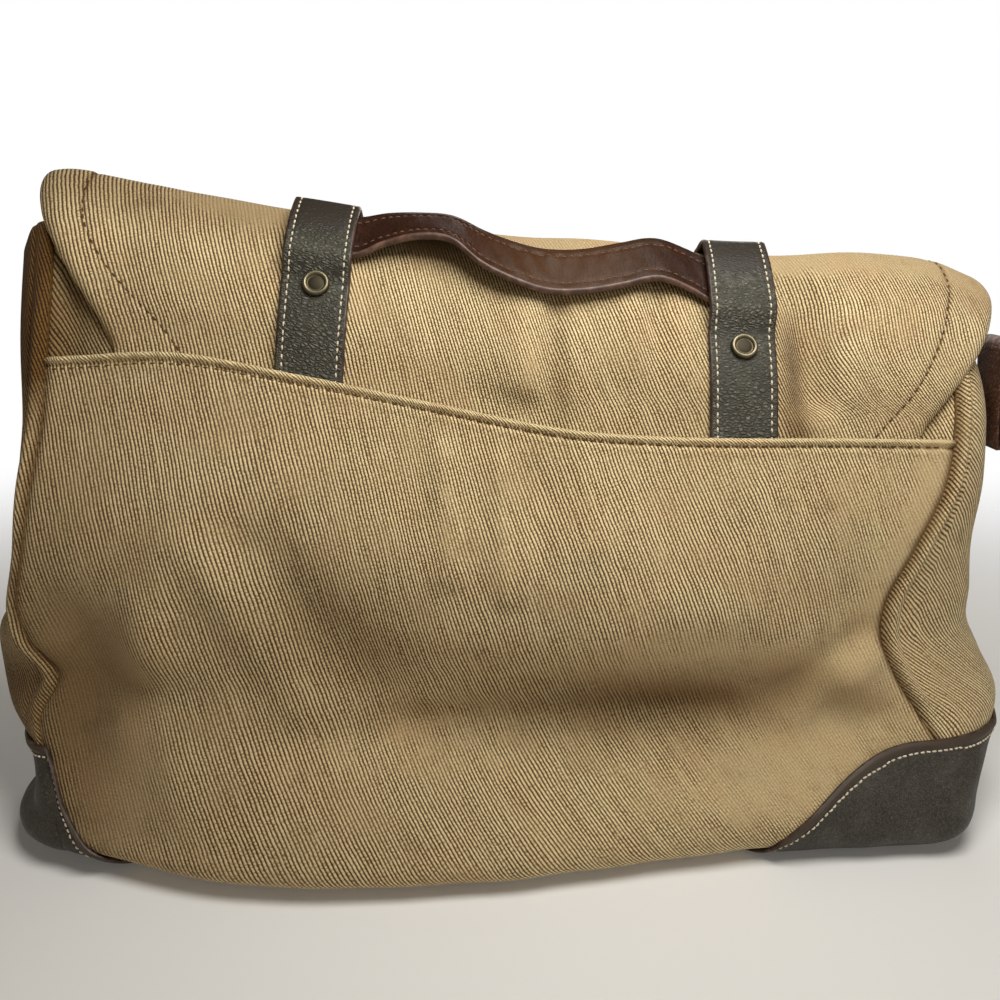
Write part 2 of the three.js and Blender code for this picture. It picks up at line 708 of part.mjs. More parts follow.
const finish = (color, roughness, metalness = 0) =>
  new THREE.MeshStandardMaterial({ color, roughness, metalness });
const MATERIAL = {
  twill: finish(0xa88d5f, 0.95),
  darkLeather: finish(0x443d33, 0.6),
  brownLeather: finish(0x56382a, 0.5),
  brass: finish(0x6f6240, 0.4, 0.9),
};

const bag = new THREE.Group();

function add(name, geometry, material) {
  const mesh = new THREE.Mesh(geometry, material);
  mesh.name = name;
  bag.add(mesh);
}

add("back_panel", backGeometry(), MATERIAL.twill);
add("back_pocket", pocketGeometry(), MATERIAL.twill);
add("gusset_right", gussetGeometry(SEAM_RIGHT, FRONT_RIGHT), MATERIAL.twill);
add("gusset_left", gussetGeometry(FRONT_LEFT, SEAM_LEFT), MATERIAL.twill);
add("front_panel", frontGeometry(), MATERIAL.twill);
add("base_panel", baseGeometry(), MATERIAL.twill);
add("flap", flapGeometry(), MATERIAL.twill);
for (const strap of STRAPS) {
  add(`strap_${strap.side}`, strapGeometry(strap), MATERIAL.darkLeather);
  const rivet = rivetMesh(strap, MATERIAL.brass);
  rivet.name = `rivet_${strap.side}`;
  bag.add(rivet);
}
add("handle", handleGeometry(), MATERIAL.brownLeather);
for (const patch of PATCHES) add(`corner_patch_${patch.side}`, patchGeometry(patch), MATERIAL.darkLeather);
bag.add(sideTab(-1, "left", MATERIAL.brownLeather, MATERIAL.brass));
bag.add(sideTab(1, "right", MATERIAL.brownLeather, MATERIAL.brass));

export default bag;
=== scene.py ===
"""A slumped twill laptop bag with leather straps, handle and corner patches, dressed over its frame.

The pocket side faces -Y and +Z is up. The bag's sizes are millimetres, the stage's are metres, and
every mesh is written in metres.
"""

import math

import bmesh
import bpy
import numpy as np
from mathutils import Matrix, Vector


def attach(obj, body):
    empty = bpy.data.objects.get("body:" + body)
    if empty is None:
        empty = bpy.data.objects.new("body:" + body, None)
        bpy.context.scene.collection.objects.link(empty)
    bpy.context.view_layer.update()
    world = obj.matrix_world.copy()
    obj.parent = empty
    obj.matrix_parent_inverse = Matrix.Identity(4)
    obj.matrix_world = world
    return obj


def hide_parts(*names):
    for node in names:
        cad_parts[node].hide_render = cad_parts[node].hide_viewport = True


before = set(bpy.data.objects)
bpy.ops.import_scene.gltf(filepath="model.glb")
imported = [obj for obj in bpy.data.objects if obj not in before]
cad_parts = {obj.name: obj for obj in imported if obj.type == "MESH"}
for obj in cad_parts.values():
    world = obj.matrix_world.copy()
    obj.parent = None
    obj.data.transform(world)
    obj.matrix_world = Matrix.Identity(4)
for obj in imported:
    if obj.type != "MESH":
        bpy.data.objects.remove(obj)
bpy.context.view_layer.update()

MM = 0.001
SEED = 7


def placed(name, data):
    made = bpy.data.objects.new(name, data)
    bpy.context.collection.objects.link(made)
    return made


# Camera: the eye faces the pocket side, about as high as the flap's crest

EYE = (0, -430, 260)
LOOK_DOWN = 15  # degrees below level
PICTURE = 1000  # pixels across
FOCAL = 1003  # pixels
SENSOR = 36
NEAR = 0.01  # metres


def camera():
    lens = bpy.data.cameras.new("view")
    lens.sensor_width = SENSOR
    lens.lens = SENSOR * FOCAL / PICTURE
    lens.clip_start = NEAR
    view = placed("view", lens)
    view.location = [place * MM for place in EYE]
    view.rotation_euler = (math.radians(90 - LOOK_DOWN), 0, 0)
    bpy.context.scene.camera = view


# Driving sizes

TWILL = 1.6  # cloth wall
PLY_GAP = 0.35  # clear space between neighbouring plies
BASE_BOARD = 3  # doubled bottom panel
STRAP = {"width": 29, "thick": 2, "tuck": 7, "end": 1.86}
HANDLE = {"width": 25, "thick": 4}
PATCH = {"thick": 1.6, "above": 0.4, "foot": 0.5}
RIVET = {"radius": 5.8, "rim": 1.1, "height": 1.9, "dish": 0.8}
TAB = {"width": 22, "thick": 4.4, "length": 40, "eye": 5, "hole": 2.5, "level": 166}
RING = {"wire": 1.6, "width": 30, "height": 19, "corner": 6, "hang": 173}
CREST_DEPTH = 40  # depth of the flap's highest line
RIM_DROP = 22  # the mouth's rim lies this far under the flap
SHOULDER = 180  # above this height the body follows the slanting rim
RIM_LEVEL = 236  # nominal height of the rim at mid width
FLAP_HEM = 80  # height of the flap's front hem
WELT = 2.4  # how far the gusset's seam welt stands out
FRONT_SEAM_IN = 16  # the front's seams lie this far inside the gussets' bulge
FRONT_CORNER = 8  # and this far behind the middle of the front
CAVE_LEFT = 11  # the left gusset's upper half caves in behind its back edge
CAVE_LEVELS = (110, 160)  # it starts and is full at these heights
EAR_LIFT = 8  # the flap's free corners stand off the gussets by this much
FLAP_LOFT = 3.4  # and its middle stands this much off the back above the hem
FRONT_CLEAR = 2  # the flap hangs this far off the front panel
HANDLE_ROOM = 6  # how far the straps rise over the handle
SIDES = {"left": -1, "right": 1}
# Inset of each ply behind the pocket's outer skin
INSET_FLAP = TWILL + STRAP["thick"] + 4 * PLY_GAP
INSET_BACK = 2 * TWILL + STRAP["thick"] + 5 * PLY_GAP
INSET_BACK_SEAM = TWILL + 2 * PLY_GAP


def table(columns, *rows):
    """Rows of numbers as named columns."""
    return {name: np.array([row[i] for row in rows], float) for i, name in enumerate(columns.split())}


BODY = table(
    "level seam_left seam_right at_left mid_left middle mid_right at_right side_left side_right front",
    (1, -172, 174, -40, -68, -64, -46, -38, -192, 195, 32),
    (4, -182, 184, -48, -77, -74, -54, -46, -205, 205, 40),
    (10, -189, 193, -58, -84, -80, -59, -52, -215, 211, 47),
    (22, -192, 196, -53, -79, -74, -59, -49, -207, 215, 52),
    (38, -197, 195, -41, -67, -55, -48, -38, -210, 225, 55),
    (54, -202, 185, -31, -56, -38, -36.5, -31, -226, 230, 57),
    (72, -194, 173, -26, -49, -39.5, -36.5, -28, -231, 221, 58),
    (88, -204, 166, -27, -45, -43.5, -40, -26, -228, 213, 58),
    (104, -208, 166, -27, -41, -46, -43, -25, -217, 213, 58),
    (128, -204, 177, -25, -38, -43, -39, -23, -209, 213, 58),
    (155, -201, 190, -16, -31, -31, -29, -17, -210, 216, 57),
    (180, -197, 195, -7, -21, -21, -20, -9, -210, 217, 56),
    (210, -193, 196, 3, -8, -8, -7, 3, -211, 214, 54),
    (236, -192, 191, 16, 8, 8, 8, 14, -210, 206, 52),
)
BACK_COLUMNS = ("at_left", "mid_left", "middle", "mid_right", "at_right")
BACK_STATIONS = (-1, -0.55, 0, 0.55, 1)
HEM = table(
    "x z",
    (-196, 208), (-140, 211), (-84, 202), (-29, 191), (25, 181), (62, 178), (145, 176), (196, 174),
)
CREST = table(
    "x z",
    (-216, 263), (-206, 277), (-202, 283), (-195, 286), (-155, 280), (-60, 264), (0, 258), (60, 255),
    (92, 250), (188, 248), (222, 237),
)
FLAP_EDGES = table(
    "along left right",
    (0, -162, 175), (0.3, -175, 195), (0.6, -194, 213), (0.85, -203, 221), (1, -205, 219),
    (1.2, -205, 210), (2, -199, 201),
)
FLAP_STATIONS = (0, 0.12, 0.36, 0.62, 0.82, 1, 1.15, 1.35, 1.7, 2)

# Folds of the back: a place, half sizes, a lean from upright and a height
POCKET_FOLDS = table(
    "x z across along turn rise",
    (-166, 82, 15, 34, 52, -7),
    (-146, 98, 13, 40, -14, 4),
    (92, 96, 18, 70, 68, 4),
    (128, 72, 14, 60, 62, -5),
    (40, 150, 16, 34, -6, 2),
)
FLAP_FOLDS = table(
    "x along across run rise",
    (8, 0.3, 15, 0.3, 3),
    (52, 0.35, 14, 0.3, -2),
    (132, 0.5, 13, 0.22, -3),
    (165, 0.55, 18, 0.3, 3),
    (-130, 0.8, 24, 0.3, 2),
)
STRAPS = {
    "left": {"hem": -80.5, "crest": -76, "handle": 0.78, "rivet": 0.53},
    "right": {"hem": 102, "crest": 103, "handle": 0.73, "rivet": 0.45},
}
HANDLE_STATIONS = table(
    "x along stand tilt",
    (-84, 0.78, 0, 0), (-62, 0.78, 0, 0), (-50, 0.82, 2.5, -4), (-36, 0.84, 5, -11), (-22, 0.83, 6, -12),
    (-8, 0.755, 4.5, -9), (5, 0.71, 3.5, -7), (20, 0.69, 1, -4), (36, 0.695, 1, -4), (52, 0.725, 2, -2),
    (68, 0.765, 3, 0), (82, 0.755, 1, 0), (90, 0.73, 0, 0), (110, 0.73, 0, 0),
)
# Corner patches: their upper edge, and the share of the back's width where it meets the floor
PATCHES = {
    "left": {"edge": ((193, 44), (190, 26), (172, 10), (146, 0.5)), "share": 0.86},
    "right": {"edge": ((188, 45), (152, 45), (126, 18), (106, 0.5)), "share": 0.62},
}


# Curves and numbers


def cubic(places, values, at):
    """A smooth curve through values at rising places. A column of values may hold one for each point."""
    places = np.asarray(places, float)
    values = np.asarray(values, float)
    at = np.clip(at, places[0], places[-1])
    high = np.clip(np.searchsorted(places, at, side="right"), 1, len(places) - 1)
    low = high - 1
    before = np.where(low > 0, low - 1, high)
    after = np.where(high < len(places) - 1, high + 1, low)
    span = places[high] - places[low]
    pull_low = span / 2 / (places[low] - places[before])
    pull_high = span / 2 / (places[after] - places[high])
    p = (at - places[low]) / span
    weights = (
        (before, -pull_low * p**3 + 2 * pull_low * p**2 - pull_low * p),
        (low, (1 + pull_low) * p**3 - (1.5 + 2 * pull_low) * p**2 + (pull_low - 0.5) * p + 1),
        (high, -(1 + pull_high) * p**3 + (1.5 + pull_high) * p**2 + 0.5 * p),
        (after, pull_high * p**3 - pull_high * p**2),
    )
    if values.ndim == 1:
        return sum(weight * values[index] for index, weight in weights)
    return sum(weight * np.take_along_axis(values, index[None], 0)[0] for index, weight in weights)


def ease(at, low, high):
    t = np.clip((at - low) / (high - low), 0, 1)
    return t * t * (3 - 2 * t)


def window(at, low, full, still, gone):
    """A share that rises from low to full and falls from still to gone."""
    return ease(at, low, full) * (1 - ease(at, still, gone))


def mix(first, second, share):
    return first + (second - first) * share


def hump(at, middle, half):
    return np.exp(-(((at - middle) / half) ** 2))


def unit(vectors):
    return vectors / np.maximum(np.linalg.norm(vectors, axis=-1, keepdims=True), 1e-9)


def stack(x, y, z):
    return np.stack(np.broadcast_arrays(x, y, z), axis=-1).astype(float)


WAVES = 6


def ripple(x, z, wave, seed):
    """Gentle unevenness from a few crossing waves, about -1 to 1."""
    draw = np.random.default_rng(SEED + seed)
    total = 0
    for _ in range(WAVES):
        turn, start, stretch = draw.uniform(0, math.tau), draw.uniform(0, math.tau), draw.uniform(0.7, 1.6)
        phase = (x * math.cos(turn) + z * math.sin(turn)) * math.tau / (wave * stretch)
        total = total + np.sin(phase + start)
    return total / (WAVES / 2)


def runs(grid, axis):
    """Distance along a grid's rows (axis 1) or columns (axis 0)."""
    steps = np.linalg.norm(np.diff(grid, axis=axis), axis=2)
    start = np.zeros_like(np.take(steps, [0], axis=axis))
    return np.cumsum(np.concatenate([start, steps], axis=axis), axis=axis)


def both_ends(grid, axis):
    """Distance from the first and from the last end of a grid's rows or columns."""
    run = runs(grid, axis)
    return run, np.take(run, [-1], axis=axis) - run


def stations(*spans):
    """Rising shares, from spans of a first, a last and a count that meet at their ends."""
    parts = [np.linspace(*span) for span in spans]
    return np.concatenate([parts[0], *[part[1:] for part in parts[1:]]])


def crowd(count, ease_in=1.4):
    """Shares from -1 to 1 that crowd towards both ends."""
    even = np.linspace(-1, 1, count)
    return np.sign(even) * (1 - (1 - np.abs(even)) ** ease_in)


# Body form: the outer skin of the pocket, gussets and front


def column(name, level):
    return cubic(BODY["level"], BODY[name], level)


def hem_at(x):
    return cubic(HEM["x"], HEM["z"], x)


def crest_at(x):
    return cubic(CREST["x"], CREST["z"], x)


def rim_at(x):
    return crest_at(x) - RIM_DROP


def height_of(level, x):
    above = np.maximum(0, level - SHOULDER) / (RIM_LEVEL - SHOULDER)
    return np.minimum(level, SHOULDER) + above * (rim_at(x) - SHOULDER)


def level_of(height, x):
    above = np.maximum(0, height - SHOULDER) / (rim_at(x) - SHOULDER)
    return np.minimum(height, SHOULDER) + above * (RIM_LEVEL - SHOULDER)


FOLD_FADE = 8  # how steeply the folds die out at the seams


def pocket_swell(share, x, z):
    total = 0
    for fx, fz, across, along, turn, rise in zip(*POCKET_FOLDS.values()):
        cos, sin = math.cos(math.radians(turn)), math.sin(math.radians(turn))
        off = ((x - fx) * cos + (z - fz) * sin) / across
        run = ((z - fz) * cos - (x - fx) * sin) / along
        total = total + rise * np.exp(-(off**2) - run**2)
    return total * (1 - np.minimum(1, np.abs(share)) ** FOLD_FADE)


def back_depth(share, level):
    depths = np.stack([column(name, level) for name in BACK_COLUMNS])
    return cubic(BACK_STATIONS, depths, np.clip(share, -1, 1))


def back_point(share, level):
    share, level = np.broadcast_arrays(np.asarray(share, float), np.asarray(level, float))
    x = mix(column("seam_left", level), column("seam_right", level), (share + 1) / 2)
    z = height_of(level, x)
    return stack(x, back_depth(share, level) - pocket_swell(share, x, z), z)


def back_at(x, z):
    """Depth of the back's skin at a place, and the share of its width there."""
    level = level_of(z, x)
    left, right = column("seam_left", level), column("seam_right", level)
    share = 2 * (x - left) / (right - left) - 1
    return back_depth(share, level) - pocket_swell(share, x, z), share


def bulge(side, level):
    return column("side_left" if side < 0 else "side_right", level)


def front_seam(side, level):
    return bulge(side, level) - side * FRONT_SEAM_IN, column("front", level) - FRONT_CORNER


FRONT_ROUND = 5  # how late the front turns towards its seams


def front_point(share, level):
    x = mix(front_seam(1, level)[0], front_seam(-1, level)[0], (share + 1) / 2)
    return stack(x, column("front", level) - FRONT_CORNER * np.abs(share) ** FRONT_ROUND, height_of(level, x))


def gusset_point(side, share, level):
    """A gusset runs from its back seam (0) round its bulge to its front seam (1)."""
    share, level = np.broadcast_arrays(np.asarray(share, float), np.asarray(level, float))
    back = back_point(np.full(level.shape, float(side)), level)
    front_x, front_y = front_seam(side, level)
    pull = (bulge(side, level) - 0.25 * back[..., 0]) / 0.75
    cave = CAVE_LEFT * ease(level, *CAVE_LEVELS) if side < 0 else 0
    xs = (back[..., 0], pull + side * cave, pull - 1.5 * side * cave, front_x)
    ys = (back[..., 1], mix(back[..., 1], front_y, 0.15), mix(back[..., 1], front_y, 0.75), front_y)
    rest = 1 - share
    weights = (rest**3, 3 * rest**2 * share, 3 * rest * share**2, share**3)
    x = sum(w * p for w, p in zip(weights, xs))
    y = sum(w * p for w, p in zip(weights, ys))
    return stack(x, y, height_of(level, x))


# Flap form


def flap_swell(x, along):
    total = 0
    for fx, fa, across, run, rise in zip(*FLAP_FOLDS.values()):
        total = total + rise * np.exp(-(((x - fx) / across) ** 2) - ((along - fa) / run) ** 2)
    return total


def flap_point(x, along):
    """A point of the flap's outer face, from its sewn edge (0) over its crest (1) to its hem (2)."""
    x, along = np.broadcast_arrays(np.asarray(x, float), np.asarray(along, float))
    hem, rim, crest = hem_at(x), rim_at(x), crest_at(x)

    def over_back(z, climb):
        depth, share = back_at(x, z)
        ear = ease(np.abs(share), 0.78, 1.02) * ease(climb, 0.02, 0.32)
        return depth + INSET_FLAP - EAR_LIFT * ear - FLAP_LOFT * ease(climb, 0.1, 0.36) * (1 - ear)

    def over_front(z):
        return column("front", level_of(z, x)) + FRONT_CLEAR + TWILL

    half = mix(hem, rim, 0.5)
    fall = rim - 14
    low = mix(fall, FLAP_HEM, 0.55)
    hang = np.full(x.shape, float(FLAP_HEM))
    heights = np.stack([
        hem - STRAP["tuck"], hem + 4, half, rim, mix(rim, crest, 0.72), crest, mix(crest, rim, 0.5),
        fall, low, hang,
    ])
    rim_depth = over_back(rim, 0.62)
    depths = np.stack([
        over_back(heights[0], 0), over_back(heights[1], 0.12), over_back(half, 0.36), rim_depth,
        mix(rim_depth, CREST_DEPTH, 0.5), np.full(x.shape, float(CREST_DEPTH)), over_front(rim) - 6,
        over_front(fall), over_front(low), over_front(hang),
    ])
    facing = np.where(along < 1, -1, 1)
    free = window(along, 0.1, 0.25, 0.9, 1)
    y = cubic(FLAP_STATIONS, depths, along) + facing * free * flap_swell(x, along)
    return stack(x, y, cubic(FLAP_STATIONS, heights, along))


def flap_normal(x, along):
    step = 0.02
    across = flap_point(x + 1, along) - flap_point(x - 1, along)
    up = flap_point(x, np.minimum(2, along + step)) - flap_point(x, np.maximum(0, along - step))
    return unit(np.cross(across, up))


def flap_edge(side, along):
    return cubic(FLAP_EDGES["along"], FLAP_EDGES["left" if side < 0 else "right"], along)


FINE = 1200


def even_alongs(x, first, last, step):
    """Places along the flap, evenly spaced on its curve at x."""
    fine = np.linspace(first, last, FINE)
    run = runs(flap_point(np.full(fine.shape, float(x)), fine)[:, None], 0)[:, 0]
    return np.interp(np.linspace(0, run[-1], int(run[-1] / step) + 1), run, fine)


# Finishes


def colour(red, green, blue):
    """A colour given as screen values, 0 to 255, in linear light."""
    return (*[((part / 255 + 0.055) / 1.055) ** 2.4 for part in (red, green, blue)], 1)


def sign(operation, reflected=False):
    """A method that joins a value and another by a Math node. Reflected, the other stands first."""

    def method(self, other):
        first, second = (other, self) if reflected else (self, other)
        return self.finish.node("Math", {"operation": operation}, {0: first, 1: second})

    return method


class Value:
    """A shader socket that can stand in a sum: each sign adds a Math node."""

    def __init__(self, finish, socket):
        self.finish = finish
        self.socket = socket

    __add__ = sign("ADD")
    __radd__ = sign("ADD", reflected=True)
    __sub__ = sign("SUBTRACT")
    __rsub__ = sign("SUBTRACT", reflected=True)
    __mul__ = sign("MULTIPLY")
    __rmul__ = sign("MULTIPLY", reflected=True)
    __truediv__ = sign("DIVIDE")
    __pow__ = sign("POWER")


class Finish:
    """The nodes of one material, or of the world's light."""

    def __init__(self, owner):
        self.owner = owner
        owner.use_nodes = True
        self.tree = owner.node_tree
        self.tree.nodes.clear()

    @classmethod
    def start(cls, name):
        """A new material, and the places on its flat cut: across, along and both as a vector."""
        made = cls(bpy.data.materials.new(name))
        u, v = made.cut()
        return made, u, v, made.place(u, v)

    def node(self, kind, settings=(), sockets=(), out=0):
        made = self.tree.nodes.new("ShaderNode" + kind)
        for key, value in dict(settings).items():
            setattr(made, key, value)
        for key, value in dict(sockets).items():
            if isinstance(value, Value):
                self.tree.links.new(value.socket, made.inputs[key])
            else:
                made.inputs[key].default_value = value
        return None if out is None else Value(self, made.outputs[out])

    def cut(self):
        """Places on the flat cut, in millimetres across and along it."""
        place = self.node("TexCoord", out=2)
        split = self.node("SeparateXYZ", {}, {0: place})
        along = Value(self, split.socket.node.outputs[1])
        return split / MM, along / MM

    def mark(self, name):
        """How much a place is worn, or darkened by painted shade, 0 to 1, as its mesh says."""
        return self.node("Attribute", {"attribute_name": name}, out=2)

    def place(self, x, y):
        return self.node("CombineXYZ", {}, {0: x, 1: y})

    def noise(self, place, size, detail=2.0, roughness=0.5):
        """Cloudy noise of a size in millimetres, about 0 to 1."""
        return self.node(
            "TexNoise", {}, {"Vector": place, "Scale": 1 / size, "Detail": detail, "Roughness": roughness}
        )

    def cells(self, place, size, feature="F1", out=0):
        """Rounded cells of a size in millimetres: output 0 is a distance, and 1 a colour for each."""
        sockets = {"Vector": place, "Scale": 1 / size, "Randomness": 0.9}
        return self.node("TexVoronoi", {"feature": feature}, sockets, out)

    def draw(self, seed):
        """One random number for each whole number."""
        return self.node("TexWhiteNoise", {"noise_dimensions": "1D"}, {"W": seed})

    def between(self, value, low, high, first=0.0, last=1.0):
        """A smooth step from first to last as the value goes from low to high."""
        return self.node(
            "MapRange",
            {"interpolation_type": "SMOOTHSTEP"},
            {"Value": value, "From Min": low, "From Max": high, "To Min": first, "To Max": last},
        )

    def sine(self, turns):
        return self.node("Math", {"operation": "SINE"}, {0: turns * math.tau})

    def floor(self, value):
        return self.node("Math", {"operation": "FLOOR"}, {0: value})

    def blend(self, share, first, second, way="MIX"):
        """Two colours mixed by a share."""
        return self.node(
            "Mix", {"data_type": "RGBA", "blend_type": way, "clamp_factor": True},
            {0: share, 6: first, 7: second}, out=2,
        )

    def bump(self, height, depth, strength=1.0):
        return self.node("Bump", {}, {"Height": height, "Distance": depth * MM, "Strength": strength})

    def surface(self, **sockets):
        """The finished material. Sockets are named with underscores for spaces."""
        names = {key.replace("_", " ").title().replace("Ior", "IOR"): value for key, value in sockets.items()}
        shader = self.node("BsdfPrincipled", {}, names)
        self.node("OutputMaterial", {}, {"Surface": shader}, out=None)
        return self.owner


WALE = 1.5  # pitch of the twill's slanting ribs
RIDGE = colour(248, 229, 180)
RIDGE_FADED = colour(226, 206, 162)
FURROW = colour(100, 70, 34)
FURROW_FADED = colour(150, 122, 80)
LINT = colour(246, 238, 220)
STAIN = colour(116, 80, 50)
TINGE = (1, 0.96, 0.95, 1)
PAINTED_SHADE_TINT = (0.24, 0.155, 0.07, 1)  # what full painted shade leaves of a colour
BRASS_DULL = colour(62, 56, 44)
BRASS_BRIGHT = colour(136, 128, 104)


def twill(name, lean, pitch=WALE, pale=0.04):
    """Khaki twill: slanting wales of light yarn over brown, faded where it is worn, a little linty, darkened
    by painted shade where its mesh marks it.
    """
    f, u, v, place = Finish.start(name)
    sin, cos = math.sin(math.radians(lean)), math.cos(math.radians(lean))
    wander = f.noise(place, 16, 2.0) - 0.5
    shake = f.noise(place, 2.4, 1.0) - 0.5
    across = (u * sin + v * cos) / pitch + wander * 0.7 + shake * 0.2
    along = (v * sin - u * cos) / pitch
    wale = f.floor(across)
    within = across - wale
    ridge = f.between(f.sine(within * 0.5), 0.28, 1.0)
    each = f.draw(wale)
    jitter = f.noise(f.place(wale * 9.0, along * pitch), 3, 1.0) - 0.5
    yarn = f.sine(along * 0.95 + each * 3.0 + jitter * 2.6) * 0.5 + 0.5
    streak = f.noise(f.place(across * pitch * 2.0, along * pitch * 0.16), 3.0, 2.0) - 0.5
    fuzz = f.noise(place, 0.75, 3.0, 0.7) - 0.5
    cloud = f.between(f.noise(place, 26, 4.0, 0.62), 0.4, 0.66)
    rubbed = f.between(f.mark("worn") + (f.noise(place, 10, 4.0, 0.7) - 0.5) * 1.6, 0.1, 1.0)
    faded = f.between(cloud * 0.7 + rubbed, 0.0, 1.2)
    light = f.blend(faded, RIDGE, RIDGE_FADED)
    dark = f.blend(faded, FURROW, FURROW_FADED)
    share = ridge * (0.5 + each * 0.2 + yarn * 0.55) + streak * 0.6 + fuzz * 1.7 + pale
    share = share * (1 - rubbed * 0.78) + rubbed * (0.48 + fuzz * 0.7)
    base = f.blend(f.between(share, 0.0, 1.0), dark, light)
    stain = f.between(f.noise(place, 19, 4.0, 0.65), 0.54, 0.72)
    base = f.blend(stain * 0.22, base, STAIN)
    tinge = f.between(f.noise(place, 34, 2.0), 0.42, 0.62)
    base = f.blend(tinge, base, TINGE, "MULTIPLY")
    lint = f.between(f.noise(place, 1.0, 1.0), 0.66, 0.76) * f.between(f.noise(place, 18, 2.0), 0.4, 0.66)
    base = f.blend(lint * 0.6, base, LINT)
    # Painted shade: the mesh's mark darkens the cloth where shadow falls, in creases, seams, hollows and
    # under the flap's ear.
    base = f.blend(f.mark("soiled"), base, PAINTED_SHADE_TINT, "MULTIPLY")
    height = ridge * (0.7 + yarn * 0.3) * (1 - rubbed * 0.6) + fuzz * 0.5 + streak * 0.25
    return f.surface(
        base_color=base, roughness=0.95, normal=f.bump(height, 0.34, 0.9), sheen_weight=0.1,
        sheen_roughness=0.6, specular_ior_level=0.12,
    )


def folded_edge(name):
    """The folded edge of a cloth piece, too tight to show its wales, darkened by painted shade where its mesh
    marks it.
    """
    f, _, _, place = Finish.start(name)
    fuzz = f.noise(place, 1.2, 3.0, 0.6)
    base = f.blend(f.mark("soiled"), f.blend(fuzz, FURROW, RIDGE_FADED), PAINTED_SHADE_TINT, "MULTIPLY")
    return f.surface(base_color=base, roughness=0.95, specular_ior_level=0.12)


def leather(
    name, deep, mid, high, grain, relief, gloss, creased=0.0, wide=1.0, rub=None, rub_flat=0.0, shine=0.3
):
    """Pebbled leather: rounded grains with darker valleys, rubbed to another colour where it is worn."""
    f, u, v, place = Finish.start(name)
    bend = f.noise(place, grain * 2.4, 2.0) - 0.5
    bent = f.place((u + bend * grain * 1.5) / wide, v - bend * grain * 1.3)
    valley = f.cells(bent, grain, "DISTANCE_TO_EDGE")
    worn = f.between(f.mark("worn") + (f.noise(place, 5, 3.0, 0.6) - 0.5) * 0.5, 0.1, 0.9)
    keep = 1 - worn * rub_flat
    pebble = f.between(valley, 0.0, 0.4) * keep
    tone = f.node("SeparateXYZ", {}, {0: f.cells(bent, grain, out=1)})
    cloud = f.between(f.noise(place, 16, 3.0, 0.6), 0.42, 0.72)
    pores = f.noise(place, 0.4, 2.0) - 0.5
    crease = f.between(f.noise(f.place(u * 0.35, v * 1.6), 5.0, 3.0, 0.6), 0.50, 0.56)
    lines = crease * (1 - crease) * 4.0 * creased
    share = pebble * 0.55 + tone * 0.2 * keep + pores * 0.3 + cloud * 0.2 - lines * 0.25
    base = f.blend(f.between(share, 0.0, 0.55), deep, mid)
    base = f.blend(f.between(share, 0.55, 1.1), base, high)
    if rub:
        base = f.blend(worn * (0.75 + pores * 0.8), base, rub)
    height = pebble * (0.8 + tone * 0.2) + pores * 0.12 - lines * 0.8
    roughness = gloss + 0.1 - cloud * 0.1 - pebble * 0.06
    return f.surface(
        base_color=base, roughness=roughness, normal=f.bump(height, relief, 0.9), specular_ior_level=shine
    )


def painted_edge(name, deep, high):
    """Burnished, painted leather edge, rubbed lighter in places."""
    f, _, _, place = Finish.start(name)
    scuff = f.between(f.noise(place, 5.0, 3.0, 0.6), 0.36, 0.76)
    base = f.blend(scuff, deep, high)
    return f.surface(base_color=base, roughness=0.44 - scuff * 0.08, normal=f.bump(scuff, 0.06, 0.5))


def thread(name, deep, high):
    """Twisted waxed thread."""
    f, u, v, place = Finish.start(name)
    twist = f.sine(u * 1.4 + v * 0.5) * 0.5 + 0.5
    dirt = f.noise(place, 9, 2.0)
    base = f.blend(f.between(twist * 0.6 + dirt * 0.6, 0.2, 0.9), deep, high)
    return f.surface(base_color=base, roughness=0.7, normal=f.bump(twist, 0.1, 0.7))


def brass(name, capped=False):
    """Antiqued brass: rubbed bright on its rims, brown and dull in its hollows."""
    f, u, v, place = Finish.start(name)
    cloud = f.noise(place, 3.0, 4.0, 0.6)
    rubbed = f.between(cloud, 0.3, 0.75)
    if capped:
        out = (u * u + v * v) ** 0.5
        rim = f.between(out, RIVET["radius"] - 2.6 * RIVET["rim"], RIVET["radius"] - 1.7 * RIVET["rim"])
        edge = f.between(out, RIVET["radius"] - 0.6, RIVET["radius"])
        rubbed = rim * (0.55 + rubbed * 0.45) * (1 - edge * 0.8)
    base = f.blend(rubbed, BRASS_DULL, BRASS_BRIGHT)
    scratch = f.noise(f.place(u * 3.0, v * 0.4), 0.6, 2.0)
    return f.surface(
        base_color=base, metallic=0.85, roughness=0.56 - rubbed * 0.2 + (scratch - 0.5) * 0.12,
        normal=f.bump(scratch, 0.03, 0.5),
    )


POCKET_TWILL = twill("pocket_twill", 73)
HEM_TWILL = twill("hem_twill", 48, 1.1, pale=0.24)
FLAP_TWILL = twill("flap_twill", 70)
GUSSET_TWILL = twill("gusset_twill", 66)
GUSSET_RIGHT_TWILL = twill("gusset_right_twill", 57)
BACK_TWILL = twill("back_twill", 62)
CLOTH_EDGE = folded_edge("cloth_edge")
STRAP_LEATHER = leather(
    "strap_leather", colour(52, 51, 43), colour(88, 86, 74), colour(120, 117, 104), 1.3, 0.6, 0.42,
    wide=1.8, rub=colour(39, 30, 21), rub_flat=0.8, shine=0.42,
)
